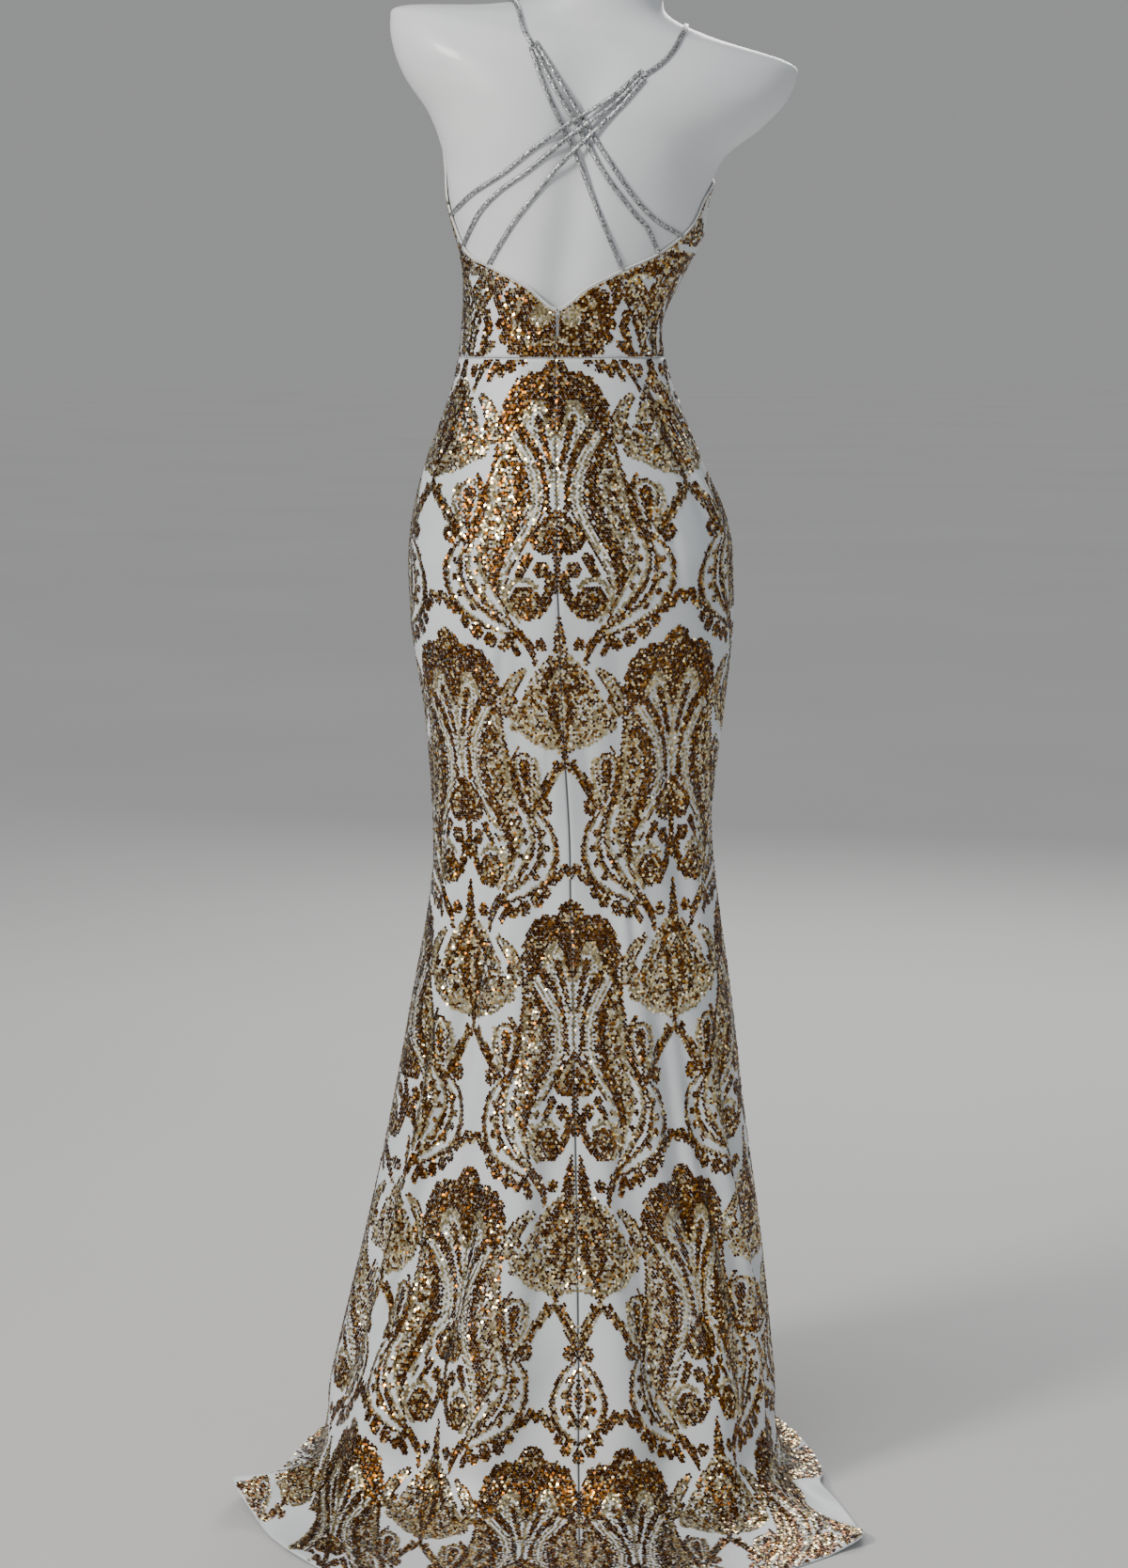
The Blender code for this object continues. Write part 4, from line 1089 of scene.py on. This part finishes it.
@dataclass
class Sequins:
    """Sewn sequins: small foiled discs, each tilted a little its own way, a share of them painted lightest
    as glints.
    """

    radius: float = 0.00156
    pitch: float = 0.00272
    lift: float = 0.00050
    tilt: float = 0.19
    wander: float = 0.00020
    sides: int = 6
    edge_row: float = 0.0022
    edge_bronze: float = 0.5     # bronze ones among the row at the neckline
    weft: tuple[float, float, float] = (0.31, 0.22, 0.92)
    # beta shape of each disc's random lightness
    shine: tuple[float, float] = (1.3, 2.8)
    glitter: float = 0.14        # how much lighter the discs of a glittering place are
    flash: float = 0.08          # share of discs painted with the lightest foil colour as glints, twice that in glittering places
    shares: dict[Tone, tuple[float, float]] = field(default_factory=lambda: {
        Tone.SCATTER: (0.36, 0.82), Tone.GLITTER: (0.42, 1.0)})
    ease: dict[str, Track] = field(default_factory=lambda: tracks(EASE, "down"))

    def disc(self) -> Array:
        """The points of one disc, from a round face."""
        shape = bmesh.new()
        bmesh.ops.create_circle(shape, cap_ends=True, segments=self.sides, radius=self.radius)
        points = np.array([vertex.co for vertex in shape.verts])
        shape.free()
        return points

    def charted(self, panel: Panel) -> tuple[Array, Array, Array]:
        """Flat places in staggered rows over a panel, and what the pattern puts there.

        Args:
            panel: The panel.

        Returns:
            Across, down and tone of each place that carries something.
        """
        rise = self.pitch * math.sqrt(3) / 2
        low, high = panel.across.min() / self.pitch, panel.across.max() / self.pitch
        top, foot = panel.down.min() / rise, panel.down.max() / rise
        row, column = np.mgrid[math.floor(top):math.ceil(foot), math.floor(low):math.ceil(high)]
        u, v = ((column + 0.5 * (row % 2)) * self.pitch).ravel(), (row * rise).ravel()
        flare = self.ease["flare"](v) if panel.origin in (0.0, 1.0) else 0.0
        x = (np.abs(u) * 1000 - flare) * panel.damask.half_period / self.ease["half"](v)
        tones = panel.damask.tones(x, v * 1000)
        kept = tones > 0
        return u[kept], v[kept], tones[kept]

    def sewn(self, panel: Panel, draw: np.random.Generator) -> tuple[Array, Array, Array, Array]:
        """Where the panel's sequins are.

        Args:
            panel: The panel.
            draw: What the small differences are drawn from.

        Returns:
            Row and share of each on the panel, its tone, and whether it lies in a glittering place.
        """
        u, v, tones = self.charted(panel)
        chance = draw.random(len(u))
        bright = tones == Tone.GLITTER.value
        for mixed, (bronze, sewn) in self.shares.items():
            here = tones == mixed.value
            foil = np.where(chance < bronze, Tone.BRONZE.value, Tone.CHAMPAGNE.value)
            tones = np.where(here, foil, tones)
            tones = np.where(here & (chance > sewn), Tone.BARE.value, tones)
        jitter = draw.normal(0.0, self.wander, (2, len(u)))
        row, share, good = panel.located(u + jitter[0], v + jitter[1])
        good &= tones != Tone.BARE.value
        if not panel.top_is_zero:
            edge, along = panel.along_top(self.pitch, self.edge_row)
            good &= row > 2 * self.edge_row / (panel.down[1] - panel.down[0]).mean()
            dark = draw.random(len(edge)) < self.edge_bronze
            golden = np.where(dark, Tone.BRONZE.value, Tone.CHAMPAGNE.value)
            return (np.concatenate([row[good], edge]), np.concatenate([share[good], along]),
                    np.concatenate([tones[good], golden]), np.concatenate([bright[good], edge > 0]))
        return row[good], share[good], tones[good], bright[good]

    def joined(self, name: str, points: Array, tones: Array, shine: Array) -> bpy.types.Object:
        """One joined mesh of discs.

        Args:
            name: The piece's name.
            points: The corners of each disc.
            tones: Which foil each has.
            lightness: How light each one's foil colour is, from 0 to 1, with the painted glints at 1.

        Returns:
            The piece.
        """
        mesh = bpy.data.meshes.new(name)
        faces = np.arange(len(points) * self.sides).reshape(-1, self.sides)
        mesh.from_pydata(points.reshape(-1, 3).tolist(), [], faces.tolist())
        for material in (BRONZE, CHAMPAGNE):
            mesh.materials.append(finish(material))
        mesh.polygons.foreach_set("material_index", (tones - 1).astype(np.int32))
        mesh.attributes.new("tone", "FLOAT", "FACE").data.foreach_set("value", shine.astype(np.float32))
        piece = linked(name, mesh)
        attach(piece, "gown")
        LOG.info("%s: %d sequins", name, len(points))
        return piece

    def build(self, panel: Panel, seed: int) -> list[bpy.types.Object]:
        """The sequins of one panel, in two halves where it is a front.

        Args:
            panel: The panel that they are sewn to.
            seed: What their small differences are drawn from.

        Returns:
            The pieces.
        """
        draw = np.random.default_rng(seed)
        row, share, tones, bright = self.sewn(panel, draw)
        centres = panel.looked_up(panel.places, row, share)
        normals = unit(panel.looked_up(panel.normals, row, share))
        first = unit(np.cross(normals, self.weft))
        leaning = draw.normal(0.0, self.tilt, (2, len(centres), 1))
        second = np.cross(normals, first)
        tilted = unit(normals + leaning[0] * first + leaning[1] * second)
        first = unit(first - tilted * (first * tilted).sum(axis=1, keepdims=True))
        second = np.cross(tilted, first)
        spin = draw.random((len(centres), 1)) * 2 * math.pi
        disc = self.disc()
        x = disc[None, :, 0] * np.cos(spin) - disc[None, :, 1] * np.sin(spin)
        y = disc[None, :, 0] * np.sin(spin) + disc[None, :, 1] * np.cos(spin)
        points = ((centres + normals * self.lift)[:, None]
                  + first[:, None] * x[..., None] + second[:, None] * y[..., None])
        points[..., 2] = np.maximum(points[..., 2], FLOOR_GAP)
        # Each disc's lightness: a random tone, lighter in the glittering places of the pattern.
        shine = np.clip(draw.beta(*self.shine, len(centres)) + self.glitter * bright, 0.0, 1.0)
        # Painted glints: a share of discs, twice as large in glittering places, get the lightest foil
        # colour for light caught off them.
        shine = np.where(draw.random(len(centres)) < self.flash + self.flash * bright, 1.0, shine)
        if panel.origin in (0.0, 1.0):
            return [self.joined(panel.name + "_sequins", points, tones, shine)]
        halves = {"left": share < panel.origin, "right": share >= panel.origin}
        return [self.joined(panel.name + "_sequins_" + side, points[half], tones[half], shine[half])
                for side, half in halves.items()]


@dataclass
class Gown:
    """The six panels of the gown, their sequins and the binding of the neckline."""

    binding_radius: float = 0.0012
    binding_gap: float = 0.0004
    binding_short: float = 0.4   # turn by which each binding stops short of a seam
    binding_points: int = 150
    binding_sides: int = 10

    def panels(self) -> list[Panel]:
        """The panels, laid out but not built."""
        bodice_falls = np.linspace(0.0, 1.0, 36)
        skirt_falls = np.concatenate([
            np.linspace(0.0, 0.1, 36)[:-1], np.linspace(0.1, 1.0, 110)[:-1], np.linspace(1.0, 2.0, 44)])
        paisley, rings = Damask(MOTIF), Damask(RINGS, half_period=EASE[0].half)
        spans = {"back_left": (0.0, SIDE, 72, 0.0, rings), "back_right": (-SIDE, 0.0, 72, 1.0, rings),
                 "front": (SIDE, 360.0 - SIDE, 120, 0.5, paisley)}
        made = []
        for side, (start, end, columns, origin, upper) in spans.items():
            made.append(Panel("bodice_" + side, FIGURE.bodice, start, end, bodice_falls,
                              columns, origin, False, upper))
            made.append(Panel("skirt_" + side, FIGURE.skirt, start, end, skirt_falls,
                              columns, origin, True, paisley))
        return made

    def binding(self, side: str, start: float, end: float) -> bpy.types.Object:
        """One length of the neckline's rolled binding."""
        turns = np.linspace(start + self.binding_short, end - self.binding_short, self.binding_points)
        gap = self.binding_gap + self.binding_radius
        line = np.array([FIGURE.off_neckline(float(turn), gap) for turn in turns])
        run = unit(np.gradient(line, axis=0))
        out = np.stack([np.sin(np.radians(turns)), np.cos(np.radians(turns)), 0 * turns], -1)
        across = unit(np.cross(run, out))
        shape = closed_tube(line, across, unit(np.cross(across, run)), self.binding_radius,
                            self.binding_radius, self.binding_sides)
        piece = settle("neck_roll_" + side, shape, finish(BINDING_SATIN))
        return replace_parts(piece, "neck_binding_" + side)

    def build(self) -> None:
        rolls = {
            "back_left": self.binding("back_left", 0.0, SIDE),
            "back_right": self.binding("back_right", -SIDE, 0.0),
            "front": self.binding("front", SIDE, 360.0 - SIDE),
        }
        sequins = Sequins()
        for seed, panel in enumerate(self.panels(), start=11):
            piece = panel.build()
            sewn = sequins.build(panel, seed)
            part, side = panel.name.split("_", 1)
            if part == "bodice":
                sewn.append(rolls[side])
            flat, area = panel.flat()


class Blade(NamedTuple):
    """The swell of the shoulder blades: its place, half sizes and depth."""

    side: float
    shift: float
    height: float
    raised: float
    half_width: float
    half_height: float
    depth: float


@dataclass
class DressForm:
    """The smooth white form and its stand."""

    foot: float = 0.800
    shoulder: float = 1.53       # the rows lie closer together above it
    top: float = 1.640
    split: float = 0.72          # share of the rows below the shoulder
    columns: int = 120
    rows: int = 150
    round_off: float = 0.006
    closer: float = 0.0022       # how much nearer the cloth the form is above the waist
    spine: tuple[float, float] = (1.10, 1.50)
    spine_fade: tuple[float, float] = (0.12, 0.05)
    waist_fade: float = 0.05
    blade: Blade = Blade(0.088, 0.012, 1.440, 0.010, 0.046, 0.060, 0.0055)

    def build(self) -> bpy.types.Object:
        """The form's fine body, and finishes for the stand's nodes."""
        shape = bmesh.new()
        bmesh.ops.create_cone(shape, cap_ends=True, segments=self.columns, radius1=1.0, radius2=1.0,
                              depth=1.0)
        sides = [edge for edge in shape.edges if abs(edge.verts[0].co.z - edge.verts[1].co.z) > 0.5]
        bmesh.ops.subdivide_edges(shape, edges=sides, cuts=self.rows - 1, use_grid_fill=True)
        share = np.array([vertex.co.z + 0.5 for vertex in shape.verts])
        turns = np.array([math.degrees(math.atan2(v.co.x, v.co.y)) for v in shape.verts])
        heights = np.where(
            share < self.split,
            self.foot + (self.shoulder - self.foot) * share / self.split,
            self.shoulder + (self.top - self.shoulder) * (share - self.split) / (1 - self.split),
        )
        near_top = np.clip(heights - (self.top - self.round_off), 0.0, self.round_off)
        rounding = self.round_off - np.sqrt(np.maximum(self.round_off**2 - near_top**2, 0.0))
        relief = FIGURE.spine_depth * smooth((heights - self.spine[0]) / self.spine_fade[0])
        relief *= 1.0 - smooth((heights - self.spine[1]) / self.spine_fade[1])
        closer = self.closer * smooth((heights - WAIST) / self.waist_fade)
        inset = FORM_INSET - closer + rounding
        points = FIGURE.leaned(FIGURE.ring_point(turns, heights, inset, relief))
        blade = self.blade
        for side in (-1.0, 1.0):
            aside = (points[:, 0] - side * blade.side + blade.shift) / blade.half_width
            along = (points[:, 2] - blade.height - side * blade.raised) / blade.half_height
            points[:, 1] += blade.depth * np.exp(-(aside**2) - along**2) * (points[:, 1] > 0)
        for vertex, point in zip(shape.verts, points):
            vertex.co = point
        piece = settle("form_torso_smooth", shape, finish(FORM_WHITE))
        piece.data.set_sharp_from_angle(angle=math.radians(60))
        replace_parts(piece, "form_torso")
        for node in ("stand_base", "stand_pole", "stand_flange"):
            repaint(node, STEEL)
        return piece


@dataclass
class Straps:
    """Two shoulder straps and six back straps of lurex, with the tacks that join them."""

    half_width: float = 0.0024
    half_depth: float = 0.0014
    clear: float = 0.0003
    cross_gap: float = 0.0006    # between two straps that cross
    tack_overlap: float = 0.0006
    tack_reach: float = 0.0012   # from a tack's middle to where its straps start
    neck_gap: float = 0.0016
    cross_reach: float = 2.2     # half widths from a lower strap at which an upper one rises
    back_points: int = 121
    shoulder_points: int = 90

    @property
    def lie(self) -> float:
        """How far off the form's skin a strap's middle lies."""
        return self.half_depth + self.clear

    def on_back(self, side: float, height: float, gap: float = 0.0) -> float:
        """How far back a point lies that is a gap off the form's back, there."""
        spot, normal, _, _ = self.skin.ray_cast(Vector((side, 1.0, height)), Vector((0.0, -1.0, 0.0)))
        return spot.y + gap / max(normal.y, 0.4) if spot else 0.0

    def laid(self, name: str, node: str, points: Array) -> bpy.types.Object:
        """A flat tube along the points, lying on the form."""
        run = unit(np.gradient(points, axis=0))
        normals = np.array([self.skin.find_nearest(Vector(point))[1] for point in points])
        for _ in range(4):
            normals[1:-1] = unit(normals[:-2] + 2 * normals[1:-1] + normals[2:])
        across = unit(np.cross(run, normals))
        out = unit(np.cross(across, run))
        shape = closed_tube(points, across, out, self.half_width, self.half_depth)
        piece = settle(name, shape, finish(LUREX))
        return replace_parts(piece, node)

    def tack_frame(self, tack: Tack) -> Matrix:
        """A tack's place on the form's back, its second axis along its back straps."""
        spot = Vector((tack.side, self.on_back(tack.side, tack.height), tack.height))
        normal = self.skin.find_nearest(spot)[1]
        along = Vector((tack.run_side, 0.0, tack.run_height))
        along = (along - normal * along.dot(normal)).normalized()
        placed = Matrix((along.cross(normal), along, normal)).transposed().to_4x4()
        placed.translation = spot + normal * self.lie
        return placed

    def back_way(self, strap: BackStrap, start: Vector, under: Array | None) -> Array:
        """The points of a back strap.

        Args:
            strap: The strap.
            start: Where it leaves its tack.
            under: Points of the straps that it crosses over, if any.

        Returns:
            The points, from the tack to the neckline.
        """
        end = FIGURE.off_neckline(strap.turn, self.neck_gap)
        line = through([(start.x, start.z), *strap.route, (end[0], end[2])], self.back_points)
        out = np.array([self.on_back(x, z, self.lie) for x, z in line])
        if under is not None:
            gaps = np.hypot(line[:, None, 0] - under[None, :, 0], line[:, None, 1] - under[None, :, 2])
            reach = self.cross_reach * self.half_width
            over = (2 * self.half_depth + self.cross_gap) * smooth(2 * (1 - gaps / reach))
            lift = np.where(gaps < reach, under[None, :, 1] + over, 0.0)
            out = np.maximum(out, lift.max(axis=1))
        out[0], out[-1] = start.y, end[1]
        return np.stack([line[:, 0], stretched(run_lengths(line), out), line[:, 1]], -1)

    def shoulder_way(self, strap: ShoulderStrap, start: Array) -> Array:
        """The points of a shoulder strap, from its tack over the form to the front neckline."""
        end = FIGURE.off_neckline(strap.turn, self.neck_gap)
        points = [start]
        for guide in through([start, *strap.guides, end], self.shoulder_points)[1:-1]:
            spot, normal, _, _ = self.skin.find_nearest(Vector(guide))
            points.append(np.array(spot + normal * self.lie))
        return softened(np.vstack([*points, end]), 2)

    def build(self, form: bpy.types.Object) -> None:
        """Builds the straps over the form, the left tack's under the right one's."""
        self.skin = BVHTree.FromObject(form, bpy.context.evaluated_depsgraph_get())
        frames = {side: self.tack_frame(tack) for side, tack in TACKS.items()}
        for side in TACKS:
            repaint("strap_tack_" + side, LUREX)
        aside = 2 * self.half_width - self.tack_overlap
        lower: list[Array] = []
        for name, strap in BACK_STRAPS.items():
            start = frames[strap.tack] @ Vector((strap.slot * aside, self.tack_reach, 0.0))
            points = self.back_way(strap, start, np.vstack(lower) if strap.tack == "right" else None)
            if strap.tack == "left":
                lower.append(points)
            self.laid(name + "_lurex", name, points)
        for side, strap in SHOULDER_STRAPS.items():
            start = np.array(frames[side] @ Vector((0.0, -self.tack_reach, 0.0)))
            name = "strap_shoulder_" + side
            self.laid(name + "_lurex", name, self.shoulder_way(strap, start))


_FINISHED: dict[str, bpy.types.Material] = {}


def finish(kind: Satin | Foil | Lurex | Plain) -> bpy.types.Material:
    """The finish's material, made on first use."""
    if kind.name not in _FINISHED:
        _FINISHED[kind.name] = kind.build()
    return _FINISHED[kind.name]


def repaint(node: str, kind: Satin | Foil | Lurex | Plain) -> None:
    """Gives a CAD node a finish."""
    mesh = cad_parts[node].data
    mesh.materials.clear()
    mesh.materials.append(finish(kind))


@dataclass
class Studio:
    """Pale floor, soft light and the camera."""

    reach: float = 70.0
    eye: tuple[float, float, float] = (0.0, 3.6, 1.25)
    dip: float = 7.74
    sensor: float = 24.0
    focal: float = 51.8
    aim: tuple[float, float, float] = (0.0, 0.0, 0.85)
    air: tuple[float, float, float] = (0.62, 0.625, 0.63)
    air_strength: float = 0.50

    def light(self, name: str, place: tuple, size: float, power: float, colour: tuple) -> None:
        """A soft square light that faces the gown."""
        data = bpy.data.lights.new(name, "AREA")
        data.shape, data.size, data.energy, data.color = "SQUARE", size, power, colour
        lamp = linked(name, data)
        lamp.location = place
        lamp.rotation_euler = (Vector(self.aim) - Vector(place)).to_track_quat("-Z", "Y").to_euler()

    def build(self) -> None:
        """Builds the studio."""
        shape = bmesh.new()
        bmesh.ops.create_grid(shape, x_segments=1, y_segments=1, size=self.reach)
        mesh = bpy.data.meshes.new("studio_floor")
        shape.to_mesh(mesh)
        shape.free()
        mesh.materials.append(finish(STUDIO))
        linked("studio_floor", mesh)
        world = bpy.data.worlds.new("studio_air")
        world.use_nodes = True
        air = world.node_tree.nodes["Background"]
        air.inputs["Color"].default_value = (*self.air, 1.0)
        air.inputs["Strength"].default_value = self.air_strength
        bpy.context.scene.world = world
        self.light("key_soft", (2.6, 2.3, 2.7), 0.8, 110.0, (1.0, 0.96, 0.90))
        self.light("fill_soft", (-2.8, 2.2, 1.6), 1.8, 10.0, (0.92, 0.96, 1.0))
        self.light("front_soft", (-0.8, -3.4, 2.6), 1.6, 70.0, (1.0, 0.98, 0.95))
        sky = bpy.data.lights.new("sky_soft", "SUN")
        sky.energy, sky.angle = 0.85, math.radians(35)
        linked("sky_soft", sky).rotation_euler = (math.radians(-24), math.radians(20), 0.0)
        data = bpy.data.cameras.new("camera")
        data.sensor_fit, data.sensor_height, data.lens = "VERTICAL", self.sensor, self.focal
        camera = linked("camera", data)
        camera.location = self.eye
        camera.rotation_euler = (math.radians(90 - self.dip), 0.0, math.pi)
        bpy.context.scene.camera = camera


def clear_startup() -> None:
    """Removes what Blender's startup scene holds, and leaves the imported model."""
    for name in ("Cube", "Light", "Camera"):
        if name in bpy.data.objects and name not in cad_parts:
            bpy.data.objects.remove(bpy.data.objects[name], do_unlink=True)


def main() -> None:
    """Builds the studio, the form and the gown."""
    logging.basicConfig(level=logging.INFO, format="%(name)s %(message)s")
    clear_startup()
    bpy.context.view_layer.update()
    Studio().build()
    form = DressForm().build()
    Gown().build()
    bpy.context.view_layer.update()
    Straps().build(form)
    for node in ("zip_slider", "zip_pull"):
        repaint(node, NICKEL)
    repaint("zip_tape", TAPE)
    bpy.context.view_layer.update()


if __name__ == "__main__":
    main()
